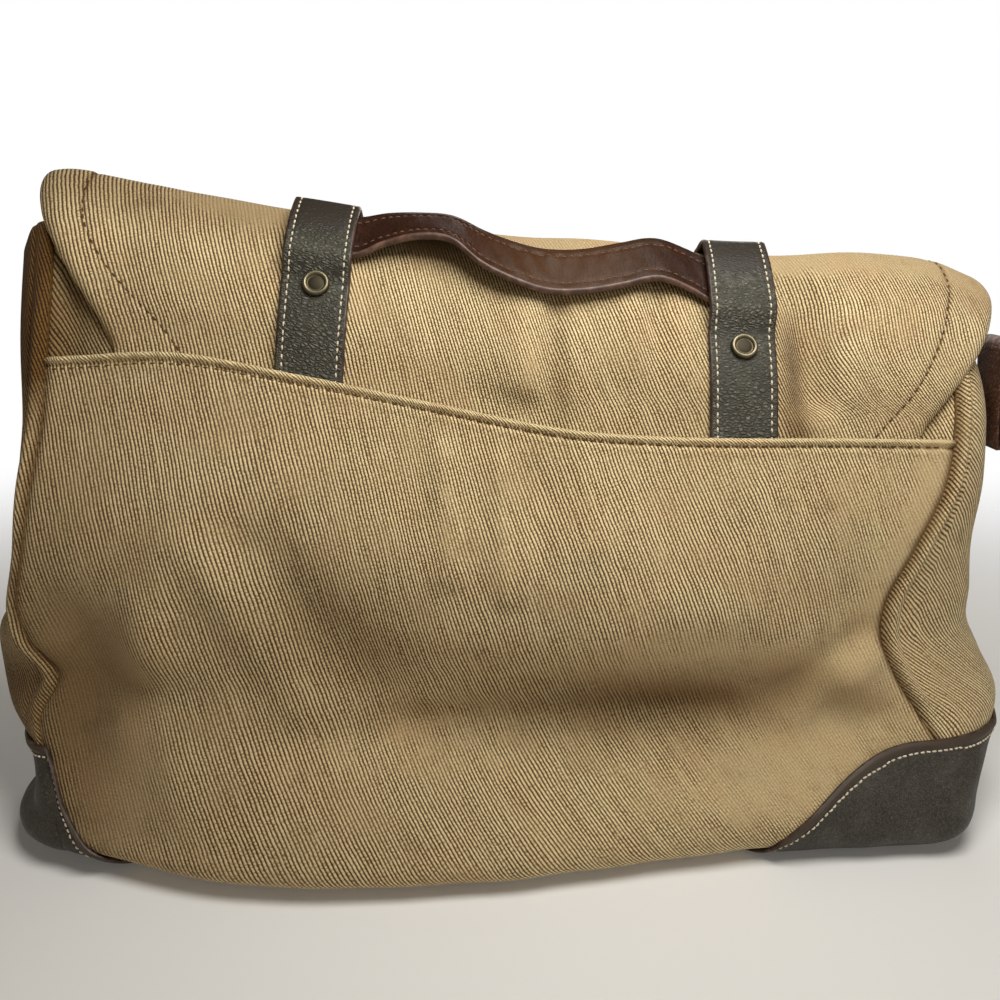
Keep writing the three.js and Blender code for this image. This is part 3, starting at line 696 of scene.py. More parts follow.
# The handle's lighter olive-brown rub colour, laid on its middle, is partly wear and partly a painted
# highlight of the glossy, crumpled grip.
HANDLE_LEATHER = leather(
    "handle_leather", colour(36, 19, 12), colour(60, 34, 22), colour(90, 54, 36), 0.7, 0.05, 0.36, 1.0,
    rub=colour(80, 52, 28), shine=0.17,
)
PATCH_LEATHER = leather(
    "patch_leather", colour(52, 49, 44), colour(80, 77, 69), colour(108, 104, 95), 1.0, 0.12, 0.46,
    rub=colour(80, 67, 56), rub_flat=0.6, shine=0.3,
)
TAB_LEATHER = leather(
    "tab_leather", colour(52, 30, 21), colour(112, 76, 60), colour(160, 126, 106), 1.3, 0.2, 0.46, 0.3
)
STRAP_EDGE = painted_edge("strap_edge", colour(52, 38, 33), colour(92, 72, 62))
# The handle's rim colours are partly its edge paint and partly a painted highlight along the rolled rim.
HANDLE_EDGE_AND_HIGHLIGHT = painted_edge("handle_edge_and_highlight", colour(76, 52, 42), colour(124, 94, 80))
CREAM_THREAD = thread("cream_thread", colour(206, 190, 162), colour(246, 236, 216))
HEM_THREAD = thread("hem_thread", colour(78, 56, 32), colour(126, 98, 62))
SEAM_THREAD = thread("seam_thread", colour(62, 43, 25), colour(100, 76, 46))
HANDLE_THREAD = thread("handle_thread", colour(84, 56, 40), colour(136, 102, 76))
BRASS = brass("antique_brass")
RIVET_BRASS = brass("rivet_brass", capped=True)


# Meshes


def piece(name, points, faces, cuts, finishes, node=None, slot=None, kinds=None, **marks):
    """A mesh in metres that rides on the bag's body.

    cuts are flat places, kinds pick finishes and marks say how worn each point is and how much painted
    shade it carries. Nothing reaches below the floor.
    """
    points[:, 2] = np.maximum(points[:, 2], 0)
    mesh = bpy.data.meshes.new(name)
    mesh.from_pydata((points * MM).tolist(), [], faces)
    corners = np.empty(len(mesh.loops), np.int32)
    mesh.loops.foreach_get("vertex_index", corners)
    mesh.uv_layers.new(name="cut").data.foreach_set("uv", (cuts[corners] * MM).ravel())
    mesh.polygons.foreach_set("use_smooth", np.ones(len(faces), bool))
    for mark, shares in marks.items():
        mesh.attributes.new(mark, "FLOAT", "POINT").data.foreach_set("value", shares.ravel())
    for finish in finishes:
        mesh.materials.append(finish)
    if kinds is not None:
        mesh.polygons.foreach_set("material_index", np.asarray(kinds, np.int32))
    mesh.update()
    made = placed(name, mesh)
    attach(made, "root")
    if node:
        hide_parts(node)
    return made


def grid_normals(grid):
    across = np.gradient(grid, axis=1)
    up = np.gradient(grid, axis=0)
    return unit(np.cross(across, up))


def border(rows, columns):
    """Index pairs round a grid's border, anticlockwise seen from outside, and their inner neighbours."""
    ring = [(0, c) for c in range(columns - 1)]
    ring += [(r, columns - 1) for r in range(rows - 1)]
    ring += [(rows - 1, c) for c in range(columns - 1, 0, -1)]
    ring += [(r, 0) for r in range(rows - 1, 0, -1)]
    ring = np.array(ring)
    inner = np.clip(ring, 1, [rows - 2, columns - 2])
    return ring, inner


def loft(rings, count):
    """Faces between closed rings of points in a row, with a cap on the first and on the last."""
    here = np.arange(count)
    beside = np.roll(here, -1)
    faces = []
    for low in range(0, (rings - 1) * count, count):
        high = low + count
        faces += np.stack([low + here, low + beside, high + beside, high + here], axis=-1).tolist()
    return [*faces, here[::-1].tolist(), (here + (rings - 1) * count).tolist()]


EDGE_TURNS = (40, 90, 140)  # degrees round a ply's rounded edge


def ply(grid, thick, cuts, normals=None, **marks):
    """What a piece needs for a sheet: an outer face on the grid, an inner one and a rounded edge.

    Its edge faces are of kind 1, and the marks of the grid's points go to the points made from them.
    """
    rows, columns = grid.shape[:2]
    normals = grid_normals(grid) if normals is None else normals
    thick = np.broadcast_to(thick, grid.shape[:2])[..., None]
    inner = grid - normals * thick
    ring, beside = border(rows, columns)
    rim = tuple(ring.T)
    away = unit(grid[rim] - grid[tuple(beside.T)])
    middle = (grid[rim] + inner[rim]) / 2
    points = [grid.reshape(-1, 3), inner.reshape(-1, 3)]
    for turn in EDGE_TURNS:
        cos, sin = math.cos(math.radians(turn)), math.sin(math.radians(turn))
        points.append(middle + (normals[rim] * cos + away * sin) * thick[rim] / 2)
    index = np.arange(rows * columns).reshape(rows, columns)
    quads = [index[:-1, :-1], index[:-1, 1:], index[1:, 1:], index[1:, :-1]]
    outside = np.stack(quads, axis=-1).reshape(-1, 4)
    inside = outside[:, ::-1] + rows * columns
    lines = [index[rim]]
    start = 2 * rows * columns
    for i in range(len(EDGE_TURNS)):
        lines.append(start + i * len(ring) + np.arange(len(ring)))
    lines.append(index[rim] + rows * columns)
    edge = []
    for upper, lower in zip(lines[:-1], lines[1:]):
        edge.append(np.stack([upper, lower, np.roll(lower, -1), np.roll(upper, -1)], axis=-1))
    edge = np.concatenate(edge)
    faces = np.concatenate([outside, inside, edge]).tolist()
    kinds = np.concatenate([np.zeros(2 * len(outside)), np.ones(len(edge))])
    source = np.concatenate([index.ravel(), index.ravel(), *[index[rim]] * len(EDGE_TURNS)])
    marks = {mark: shares.ravel()[source] for mark, shares in marks.items()}
    cuts = cuts.reshape(-1, 2)[source]
    return {"points": np.concatenate(points), "faces": faces, "cuts": cuts, "kinds": kinds, **marks}


def cut_of(grid, upright=False):
    """Flat places of a grid: distance across from its middle column, and up from its first row.

    An upright cut keeps the middle column's own slant.
    """
    across = runs(grid, 1)
    middle = grid.shape[1] // 2
    across = across - across[:, [middle]]
    if upright:
        across = across + grid[:, [middle], 0]
    return np.stack([across, runs(grid, 0)], axis=-1)


def cloth(node, finishes, grid, cuts, **marks):
    """A ply of twill that stands for a node."""
    sheet = ply(grid, TWILL, cuts, **marks)
    return piece(node + "_cloth", finishes=finishes, node=node, slot="twill", **sheet)


def lifted(grid, height):
    return grid + grid_normals(grid) * height[..., None]


STITCH_SIDES = 6
STITCH_TURNS = np.linspace(0, 1, 6)
STITCH_BURY = 0.35  # how deep they lie, in half thicknesses
# Each seam's stitches: their pitch, length and half thickness
STITCHES = {
    "hem": (4.0, 2.7, 0.42), "flap": (4.2, 2.9, 0.4), "strap": (3.4, 2.5, 0.44), "handle": (3.4, 2.4, 0.3),
    "patch": (2.7, 2.2, 0.44), "tab": (3.4, 2.5, 0.42),
}


def stitch_row(name, path, normals, finish, seam):
    """A row of stitches along a path on a face: arched grains whose ends dive into the ply."""
    pitch, length, thick = STITCHES[seam]
    run = runs(path[:, None], 0)[:, 0]
    starts = (np.arange(int((run[-1] - length) / pitch)) + 0.4) * pitch
    draw = np.random.default_rng(SEED + len(starts))
    starts = starts + draw.uniform(-0.12, 0.12, len(starts)) * pitch

    def on(line, at):
        return np.stack([np.interp(at, run, line[:, i]) for i in range(3)], axis=-1)

    at = starts[:, None] + STITCH_TURNS * length
    arch = np.sin(math.pi * STITCH_TURNS)[None, :, None]
    out = unit(on(normals, at))
    ahead = unit(on(path, at + 0.3) - on(path, at - 0.3))
    side = np.cross(ahead, out)
    sway = draw.uniform(-0.1, 0.1, (len(starts), 1, 1)) * np.linspace(-1, 1, len(STITCH_TURNS))[None, :, None]
    middle = on(path, at) + out * thick * (1.2 * arch - STITCH_BURY - 0.3) + side * sway
    radius = thick * (0.55 + 0.45 * arch)
    points, flats = [], []
    for k in range(STITCH_SIDES):
        turn = math.tau * k / STITCH_SIDES
        points.append(middle + radius * (side * math.cos(turn) + out * 0.85 * math.sin(turn)))
        flats.append(np.stack([at, np.full(at.shape, k * 0.5)], axis=-1))
    points = np.stack(points, axis=2).reshape(-1, 3)
    flats = np.stack(flats, axis=2).reshape(-1, 2)
    one = loft(len(STITCH_TURNS), STITCH_SIDES)
    size = len(STITCH_TURNS) * STITCH_SIDES
    faces = [[s * size + corner for corner in face] for s in range(len(starts)) for face in one]
    return piece(name, points, faces, flats, [finish])


# Cloth pieces

# Folds of the slumped back: a line from one place to another, its half width and how far it stands out
BACK_FOLDS = table(
    "x0 z0 x1 z1 wide rise",
    (-132, 138, -78, 60, 9, 2.0), (-110, 142, -48, 70, 14, -4.4), (-156, 114, -130, 28, 11, 2.4),
    (-186, 104, -172, 40, 12, -2.4), (142, 80, 166, 62, 8, 2.6), (116, 66, 160, 96, 7, -3.6),
    (-40, 58, 100, 62, 8, -3.6), (-30, 92, 60, 96, 12, 2.0), (10, 42, 112, 48, 9, 1.4),
    (124, 52, 164, 82, 7, 2.4), (131, 250, 131, 196, 20, -9.0), (-24, 174, -20, 120, 5, 2.0),
    (-1, 170, 3, 112, 4, 1.7), (34, 172, 40, 132, 6, 1.8), (14, 168, 18, 124, 5, -1.4),
)


def fold_rise(x, z):
    rise = 0
    for x0, z0, x1, z1, wide, height in zip(*BACK_FOLDS.values()):
        run = math.hypot(x1 - x0, z1 - z0)
        dx, dz = (x1 - x0) / run, (z1 - z0) / run
        ahead = (x - x0) * dx + (z - z0) * dz
        aside = (z - z0) * dx - (x - x0) * dz
        ends = window(ahead, -wide, wide, run - wide, run + wide)
        rise = rise + height * ends * hump(aside, 0, wide)
    return rise


HEM_ROLL = 2.6  # width of the pocket's rolled hem
HEM_STITCH = HEM_ROLL + 0.9
POCKET_COLUMNS = 190
POCKET_ROWS = ((0, 0.94, 112), (0.94, 1, 30))  # shares up to the hem


def pocket_grid():
    """The pocket from the base to its hem, with a rolled hem and a sewn groove under it."""
    share = crowd(POCKET_COLUMNS)[None, :]
    up = stations(*POCKET_ROWS)[:, None]
    x = back_point(share, np.full(share.shape, float(SHOULDER)))[..., 0]
    top = level_of(hem_at(x), x)
    grid = back_point(share, 1 + (top - 1) * up)
    below = both_ends(grid, 0)[1]
    from_seam = np.minimum(*both_ends(grid, 1))
    swell = 1 + 0.18 * ripple(grid[..., 0], 0 * below, 24, 8) + 0.28 * np.sin(grid[..., 0] * math.tau / 9)
    roll = swell * (1.35 * hump(below, HEM_ROLL / 2, 1.3) - 0.75 * hump(below, HEM_STITCH, 0.75))
    roll = roll + 0.35 * hump(below, HEM_ROLL + 3.2, 1.7)
    tuck = -1.3 * hump(from_seam, 0, 2.6)
    body = 0.4 * ripple(grid[..., 0], grid[..., 2], 46, 1) * ease(from_seam, 4, 30) * ease(below, 6, 40)
    return lifted(grid, roll + tuck + body + fold_rise(grid[..., 0], grid[..., 2])), below


# Rubbed places, and places darkened by painted shade: a place, half sizes and how much
SPOT = "x z wide tall share"
POCKET_WEAR = table(
    SPOT,
    (80, 82, 60, 20, 0.8), (148, 66, 40, 26, 0.9), (116, 34, 56, 18, 0.85), (-178, 86, 28, 36, 1.1),
    (-160, 36, 26, 34, 0.9), (160, 140, 24, 40, 0.5), (-20, 52, 60, 14, 0.5),
    (-22, 150, 4, 30, 0.5), (1, 144, 3, 30, 0.5), (37, 152, 4, 24, 0.4),
)
# Painted shade on the pocket: its dark left side, the foot of the belly, the crease under the bulge and the
# hollow left of the middle
POCKET_PAINTED_SHADE = table(
    SPOT,
    (-190, 66, 44, 60, 0.7), (-80, 20, 110, 46, 0.26), (80, 68, 74, 17, 0.85), (-200, 140, 30, 60, 0.2),
    (-76, 96, 54, 36, 0.46), (-170, 20, 50, 40, 0.15), (120, 36, 60, 20, 0.12),
)
# Painted shade behind and under the flap's left ear, and down the left gusset
BACK_PAINTED_SHADE = table(SPOT, (-198, 212, 32, 56, 0.9))
GUSSET_PAINTED_SHADE = table(
    SPOT, (-212, 232, 50, 46, 1.7), (-216, 120, 40, 60, 0.22), (-216, 60, 44, 30, 0.75)
)


def spread(spots, x, z):
    """Soft spots added up: each has a place, half sizes and how much."""
    total = np.zeros(x.shape)
    for sx, sz, wide, tall, share in zip(*spots.values()):
        total = total + share * hump(x, sx, wide) * hump(z, sz, tall)
    return np.clip(total, 0, 1)


WALE_SKEW = ((-150, 0, 100), (0.12, 0.34, 0.5))  # slide of the belly's wales for each mm down
WALE_SLIDE = ((-160, -20, 120), (-0.125, 0.0, 0.1))  # and of those above the belly for each mm up
BELLY_TOP = 62  # the one ends this far up the pocket
SLIDE_FROM = 158  # and the other starts here
SLIDE_EASE = 14  # how softly both end
WALE_WIDEN = 0.1  # the left side's wales are stretched this much
# Slide of the flap's wales for each mm up
FLAP_SKEW = ((-150, -36, 20, 150, 195), (-0.18, -0.085, 0.02, 0.01, 0.08))
FLAP_SKEW_TOP = 130  # which ends this far up the flap, behind its crest


def widened(u):
    return u - WALE_WIDEN * (u + 60) * ease(-u, 30, 130)


def pulled(grid):
    """The pocket's flat cut, as the sagging belly pulls it out of square."""
    x, v = grid[..., 0], runs(grid, 0)
    down = SLIDE_EASE * np.log1p(np.exp((BELLY_TOP - v) / SLIDE_EASE))
    up = SLIDE_EASE * np.log1p(np.exp((v - SLIDE_FROM) / SLIDE_EASE))
    u = x - np.interp(x, *WALE_SKEW) * down + np.interp(x, *WALE_SLIDE) * up
    return np.stack([widened(u), v], axis=-1)


def pocket():
    grid, below = pocket_grid()
    x, z = grid[..., 0], grid[..., 2]
    from_left, from_right = both_ends(grid, 1)
    margin = 0.85 * hump(from_right, 6, 15) * ease(z, 64, 84)
    # Painted shade in a narrow line along both side seams
    seam = 0.8 * hump(np.minimum(from_left, from_right), 0, 2.4)
    sheet = ply(
        grid, TWILL, pulled(grid),
        worn=np.maximum(spread(POCKET_WEAR, x, z), margin),
        soiled=np.maximum(spread(POCKET_PAINTED_SHADE, x, z), seam),
    )
    rolled = below[:-1, :-1].ravel() < HEM_ROLL + 0.2
    sheet["kinds"][:rolled.size] = 2 * rolled
    finishes = [POCKET_TWILL, CLOTH_EDGE, HEM_TWILL]
    made = piece("back_pocket_cloth", finishes=finishes, node="back_pocket", slot="twill", **sheet)
    row = int(np.argmin(np.abs(below[:, POCKET_COLUMNS // 2] - HEM_STITCH)))
    line = slice(4, POCKET_COLUMNS - 4)
    normals = grid_normals(grid)[row, line]
    stitch_row("pocket_hem_stitches", grid[row, line], normals, HEM_THREAD, "hem")


# Columns and rows of the hidden panels
BACK_GRID = (120, 110)
FRONT_GRID = (90, 100)


def back_panel():
    share = crowd(BACK_GRID[0])[None, :]
    level = np.linspace(1, RIM_LEVEL, BACK_GRID[1])[:, None]
    grid = back_point(share, level)
    inset = mix(INSET_BACK, INSET_BACK_SEAM, ease(np.abs(share), 0.95, 1)) + np.zeros(level.shape)
    grid = lifted(grid, fold_rise(grid[..., 0], grid[..., 2]) - inset)
    # Painted shade in the corner behind the flap's left ear
    soil = spread(BACK_PAINTED_SHADE, grid[..., 0], grid[..., 2])
    cloth("back_panel", [BACK_TWILL, CLOTH_EDGE], grid, cut_of(grid, upright=True), soiled=soil)


GUSSET_SHARES = ((0, 0.12, 16), (0.12, 0.9, 44), (0.9, 1, 12))
GUSSET_ROWS = 130
GUSSET_FINISH = {"left": GUSSET_TWILL, "right": GUSSET_RIGHT_TWILL}


def gusset(name):
    side = SIDES[name]
    level = np.linspace(1, RIM_LEVEL, GUSSET_ROWS)[:, None]
    grid = gusset_point(side, stations(*GUSSET_SHARES)[None, :], level)
    if side < 0:
        grid = grid[:, ::-1]
    back, front = both_ends(grid, 1)[::side]
    welt = WELT * window(level, 52, 66, 205, 225)
    rise = welt * (hump(back, 4.2, 2.8) + hump(front, 4.2, 2.8)) - 0.6 * hump(back, 8.6, 1.2)
    rise = rise - 1.0 * (hump(back, 0, 1.6) + hump(front, 0, 1.6))
    rise = rise + 0.7 * ripple(grid[..., 1] * 0.7, grid[..., 2], 52, 3) * ease(np.minimum(back, front), 8, 34)
    # Painted shade under the flap's left ear, down the left gusset and in a line along the back seam
    soil = np.maximum(spread(GUSSET_PAINTED_SHADE, grid[..., 0], grid[..., 2]), 0.85 * hump(back, 0, 2.6))
    grid = lifted(grid, rise)
    cloth(f"gusset_{name}", [GUSSET_FINISH[name], CLOTH_EDGE], grid, cut_of(grid), soiled=soil)


def front_panel():
    share = crowd(FRONT_GRID[0])[None, :]
    level = np.linspace(1, RIM_LEVEL, FRONT_GRID[1])[:, None]
    grid = front_point(share, level)
    from_seam = np.minimum(*both_ends(grid, 1))
    rise = 0.8 * ripple(grid[..., 0], grid[..., 2], 80, 4) * ease(from_seam, 4, 40)
    rise = rise - 1.2 * hump(from_seam, 0, 2)
    grid = lifted(grid, rise)
    cloth("front_panel", [GUSSET_TWILL, CLOTH_EDGE], grid, cut_of(grid))


# The bottom panel's rounded edge: inset and height
BASE_EDGE = ((2.4, 0.0), (1.8, 0.5), (1.6, 1.0), (1.6, 2.4), (2.2, BASE_BOARD))


def base_panel():
    """The bottom panel inside the body's lowest ring, with a rounded edge."""
    level = np.array([1.0])
    sides = [back_point(s, level)[0] for s in np.linspace(-1, 1, 60)[:-1]]
    sides += [gusset_point(1, s, level)[0] for s in np.linspace(0, 1, 16)[:-1]]
    sides += [front_point(s, level)[0] for s in np.linspace(-1, 1, 40)[:-1]]
    sides += [gusset_point(-1, s, level)[0] for s in np.linspace(1, 0, 16)[:-1]]
    ring = np.array(sides)
    ahead = unit(np.roll(ring, -1, axis=0) - np.roll(ring, 1, axis=0))
    outward = np.stack([ahead[:, 1], -ahead[:, 0], 0 * ahead[:, 0]], axis=-1)
    points = []
    for inset, z in BASE_EDGE:
        line = ring - outward * inset
        line[:, 2] = z
        points.append(line)
    points = np.concatenate(points)
    faces = loft(len(BASE_EDGE), len(ring))
    piece("base_panel_cloth", points, faces, points[:, :2], [GUSSET_TWILL], "base_panel", "twill")


FLAP_SEAMS = table(
    "along left right",
    (0, 31, 21), (0.28, 24, 17), (0.45, 19, 18), (0.62, 18, 20), (1, 26, 24), (1.4, 24, 24), (2, 22, 22),
)
FLAP_COLUMNS = 200
FLAP_STEP = 2.0
FLAP_STITCHED = (0.06, 1.97)
FLAP_CURL = {"drop": 3.6, "front": 1.0, "wide": 7}

# Creases that the straps and the handle press into the flap
FLAP_CREASES = table(
    "x along across run rise",
    (133, 0.34, 8, 0.3, -8.0), (150, 0.4, 9, 0.2, 3.0), (124, 0.7, 7, 0.1, -2.2), (140, 0.74, 8, 0.1, 1.8),
    (28, 0.58, 9, 0.1, -2.0), (11, 0.35, 8, 0.35, 1.5), (23, 0.38, 5, 0.32, -2.2), (31, 0.35, 5, 0.3, 1.4),
    (67, 0.52, 5, 0.18, -2.6), (57, 0.48, 7, 0.2, 1.6), (78, 0.45, 6, 0.2, 1.4), (-56, 0.55, 6, 0.2, -1.0),
    (-30, 0.5, 7, 0.2, -1.4), (-120, 0.62, 12, 0.25, -1.2), (-150, 0.5, 9, 0.22, 0.9),
)


def flap_grid():
    along = even_alongs(0, 0, 2, FLAP_STEP)[:, None]
    left, right = flap_edge(-1, along), flap_edge(1, along)
    x = mix(left, right, (crowd(FLAP_COLUMNS, 1.3)[None, :] + 1) / 2)
    along = np.broadcast_to(along, x.shape)
    grid = flap_point(x, along)
    drop = mix(FLAP_CURL["drop"], FLAP_CURL["front"], ease(along, 0.95, 1.25)) * ease(along, 0.03, 0.14)
    rise = 0.4 * ripple(x, grid[..., 2], 50, 2) * ease(along, 0.15, 0.3)
    groove = 0
    for off, name in ((x - left, "left"), (right - x, "right")):
        seam = cubic(FLAP_SEAMS["along"], FLAP_SEAMS[name], along)
        doubled = 1 - ease(off, seam - 1.0, seam + 0.8)
        curl = np.clip(1 - off / FLAP_CURL["wide"], 0, 1)
        groove = groove + hump(off, seam, 0.9)
        rise = rise + 0.5 * doubled
        rise = rise - drop * (1 - np.sqrt(1 - 0.97 * curl**2))
    free = window(along, 0.1, 0.25, 0.9, 1)
    for fx, fa, across, run, height in zip(*FLAP_CREASES.values()):
        rise = rise + free * height * hump(x, fx, across) * hump(along, fa, run)
    return lifted(grid, rise - 0.5 * groove), x, along, groove


def flap():
    grid, x, along, groove = flap_grid()
    crest = 1.2 * window(along, 0.68, 0.9, 1.1, 1.4) * ease(x, -185, -95)
    streak = window(along, 0.02, 0.1, 0.46, 0.66)
    worn = np.maximum(crest, 0.42 * hump(x, 12, 6) * streak)
    cuts = cut_of(grid, upright=True)
    slide = np.interp(x, *FLAP_SKEW) * np.minimum(cuts[..., 1], FLAP_SKEW_TOP)
    cuts[..., 0] = widened(cuts[..., 0] + slide)
    # Painted shade: a dark band right of the right strap, a soft patch low in the middle, a groove beside the
    # pale streak, the crest, darker towards the left, and a line in each stitched groove
    soil = 0.75 * hump(x, 126, 8) * window(along, 0.0, 0.08, 0.4, 0.75)
    soil = soil + 0.16 * hump(x, 60, 34) * hump(along, 0.25, 0.3) + 0.3 * hump(x, 24, 4) * streak
    soil = soil + (0.5 - 0.22 * ease(x, -90, 60)) * window(along, 0.58, 0.86, 1.1, 1.3)
    soil = np.clip(soil + 0.5 * groove, 0, 1)
    made = cloth("flap", [FLAP_TWILL, CLOTH_EDGE], grid, cuts, worn=worn, soiled=soil)
    normals = grid_normals(grid)
    at = along[:, 0]
    rows = np.nonzero((at > FLAP_STITCHED[0]) & (at < FLAP_STITCHED[1]))[0]
    for name, side in SIDES.items():
        place = flap_edge(side, at) - side * cubic(FLAP_SEAMS["along"], FLAP_SEAMS[name], at)
        path, out = [
            np.array([[np.interp(place[r], x[r], lines[r, :, i]) for i in range(3)] for r in rows])
            for lines in (grid, normals)
        ]
        stitch_row(f"flap_seam_{name}_stitches", path, out, SEAM_THREAD, "flap")


# Leather pieces


def strap_stand(strap, along):
    up = ease(along, strap["handle"] - 0.24, strap["handle"] - 0.13)
    return 1.5 * PLY_GAP + HANDLE_ROOM * up * (1 - ease(along, 0.9, 0.99))


def strap_middle(strap, along):
    return mix(strap["hem"], strap["crest"], np.minimum(along, 1))


STRAP_STITCH_IN = 3.0
STRAP_COLUMNS = 40
STRAP_STEP = 1.6


def strap(side):
    """A doubled leather strap over the flap, with painted edges and a row of stitches at each side."""
    plan = STRAPS[side]
    half = STRAP["width"] / 2
    edge = STRAP["thick"] / 2
    along = even_alongs(plan["crest"], 0, STRAP["end"], STRAP_STEP)[:, None]
    across = np.linspace(-half + edge, half - edge, STRAP_COLUMNS)[None, :]
    x = strap_middle(plan, along) + across
    along = np.broadcast_to(along, x.shape)
    grid = flap_point(x, along)
    normals = grid_normals(grid)
    from_edge = half - np.abs(across)
    crown = 0.25 * (1 - (across / half) ** 2) - 0.22 * hump(from_edge, STRAP_STITCH_IN, 0.8)
    face = grid + normals * (strap_stand(plan, along) + STRAP["thick"] + crown)[..., None]
    normals = grid_normals(face)
    over_top = window(along, 0.64, 0.82, 1.1, 1.3)
    piece(
        f"strap_{side}_leather", finishes=[STRAP_LEATHER, STRAP_EDGE], node=f"strap_{side}",
        slot="strap_leather", **ply(face, STRAP["thick"], cut_of(face), normals, worn=over_top),
    )
    for name, hand in SIDES.items():
        c = int(np.argmin(np.abs(across[0] - hand * (half - STRAP_STITCH_IN))))
        stitch_row(f"strap_{side}_{name}_stitches", face[:, c], normals[:, c], CREAM_THREAD, "strap")
    rivet(side, plan, face, normals, along[:, 0])


def turned(profile, count):
    """Points and faces of a profile of (radius, height) turned about an axis, closed at both ends."""
    turns = np.linspace(0, math.tau, count, endpoint=False)
    points = np.array([[r * math.cos(t), r * math.sin(t), h] for r, h in profile for t in turns])
    return points, loft(len(profile), count)


def arc(middle, radius, first, last, steps):
    turns = np.radians(np.linspace(first, last, steps))
    return [(middle[0] + radius * math.cos(t), middle[1] + radius * math.sin(t)) for t in turns]


RIVET_SIDES = 48
RIVET_SEAT = 0.15  # it stands this far off the strap's face


def rivet(side, plan, face, normals, along):
    """A dished brass cap with a raised round rim and a low dome in its hollow."""
    radius, rim, height = RIVET["radius"], RIVET["rim"], RIVET["height"]
    row = int(np.argmin(np.abs(along - plan["rivet"])))
    middle = face.shape[1] // 2
    profile = [(0.3, -0.3), (radius - 0.3, -0.3), (radius, 0.0), (radius, height - rim)]
    profile += arc((radius - rim, height - rim), rim, 0, 180, 9)[1:]
    hollow = radius - 2 * rim
    bed = height - RIVET["dish"] - 0.35
    profile += [(hollow - 0.1, height - RIVET["dish"] - 0.3), (hollow - 0.5, bed)]
    profile += [(hollow * s, bed + 0.35 * (1 - s * s)) for s in (0.75, 0.5, 0.25, 0.04)]
    points, faces = turned(profile, RIVET_SIDES)
    out = normals[row, middle]
    right = unit(np.cross(np.array([0, 0, 1.0]), -out))
    up = np.cross(out, right)
    place = face[row, middle] + out * RIVET_SEAT
    world = place + points[:, [0]] * right + points[:, [1]] * up + points[:, [2]] * out
    piece(f"rivet_{side}_brass", world, faces, points[:, :2], [RIVET_BRASS], f"rivet_{side}", "brass")


HANDLE_EDGE_ROLL = 1.6
HANDLE_STITCH_IN = 1.6  # from the rolled rim
HANDLE_RINGS = 200
HANDLE_FACE = 21  # points across a flat face


def handle():
    """A flat padded leather grip with a rolled rim along both edges, between the straps."""
    first, last = HANDLE_STATIONS["x"][0], HANDLE_STATIONS["x"][-1]
    x = np.linspace(first, last, HANDLE_RINGS)
    along = cubic(HANDLE_STATIONS["x"], HANDLE_STATIONS["along"], x)
    stand = np.maximum(0, cubic(HANDLE_STATIONS["x"], HANDLE_STATIONS["stand"], x))
    tilt = np.radians(cubic(HANDLE_STATIONS["x"], HANDLE_STATIONS["tilt"], x))
    normal = flap_normal(x, along)
    middle = flap_point(x, along) + normal * (PLY_GAP + HANDLE["thick"] / 2 + stand)[:, None]
    flat = unit(normal * np.array([0, 1, 1]))
    cos, sin = np.cos(tilt), np.sin(tilt)
    out = stack(0 * x, flat[:, 1] * cos - flat[:, 2] * sin, flat[:, 1] * sin + flat[:, 2] * cos)
    up = np.cross(np.array([1.0, 0, 0]), out)
    half, thick = HANDLE["width"] / 2, HANDLE["thick"] / 2
    roll = HANDLE_EDGE_ROLL
    section = []
    for side in (1, -1):
        across = np.linspace(-half + 2 * roll, half - 2 * roll, HANDLE_FACE) * side
        belly = thick - 0.55 + 0.35 * (1 - (across / half) ** 2)
        belly = belly - 0.25 * hump(np.abs(across), half - 2 * roll - HANDLE_STITCH_IN, 0.7)
        section += list(zip(across, side * belly))
        turns = np.radians(np.linspace(130, -50, 9) - 40)
        bead = [(side * (half - roll + roll * math.cos(t)), side * roll * math.sin(t)) for t in turns]
        section += bead[:-1]
    section = np.array(section)
    crumple = (0.16 + 0.3 * hump(x, 26, 26)[:, None]) * ripple(x[:, None], section[None, :, 0] * 0.5, 10, 9)
    crumple = crumple * (np.abs(section[None, :, 0]) < half - 2 * roll)
    depth = section[None, :, 1] + crumple * np.sign(section[None, :, 1])
    points = middle[:, None] + up[:, None] * section[None, :, :1] + out[:, None] * depth[..., None]
    rows, columns = points.shape[:2]
    beads = np.abs(section[:, 0]) > half - 2 * roll
    kinds = [*np.tile(beads & np.roll(beads, -1), rows - 1), 1, 1]
    around = np.cumsum(np.concatenate([[0], np.linalg.norm(np.diff(section, axis=0), axis=1)]))
    cuts = np.stack(np.broadcast_arrays(around[None, :], x[:, None]), axis=-1)
    # The grip's middle takes the rub colour: partly wear, partly a painted highlight.
    made = piece(
        "handle_leather_grip", points.reshape(-1, 3), loft(rows, columns), cuts.reshape(-1, 2),
        [HANDLE_LEATHER, HANDLE_EDGE_AND_HIGHLIGHT], "handle", "handle_leather", kinds,
        worn=np.broadcast_to(0.8 * hump(x, 28, 44)[:, None], points.shape[:2]),
    )
    for side, name in ((-1, "lower"), (1, "upper")):
        c = int(np.argmin(np.abs(section[:HANDLE_FACE, 0] - side * (half - 2 * roll - HANDLE_STITCH_IN))))
        stitch_row(f"handle_{name}_stitches", points[:, c], out, HANDLE_THREAD, "handle")


PATCH_STITCH_IN = 4.7
PATCH_RIM = 3.6  # width of the turned edge
PATCH_ROWS = ((0, 0.82, 26), (0.82, 1, 14))
PATCH_FITS = 25  # rounds of fitting the upper edge to the body
PATCH_SMOOTHS = 8  # rounds of rounding the corner at the seam


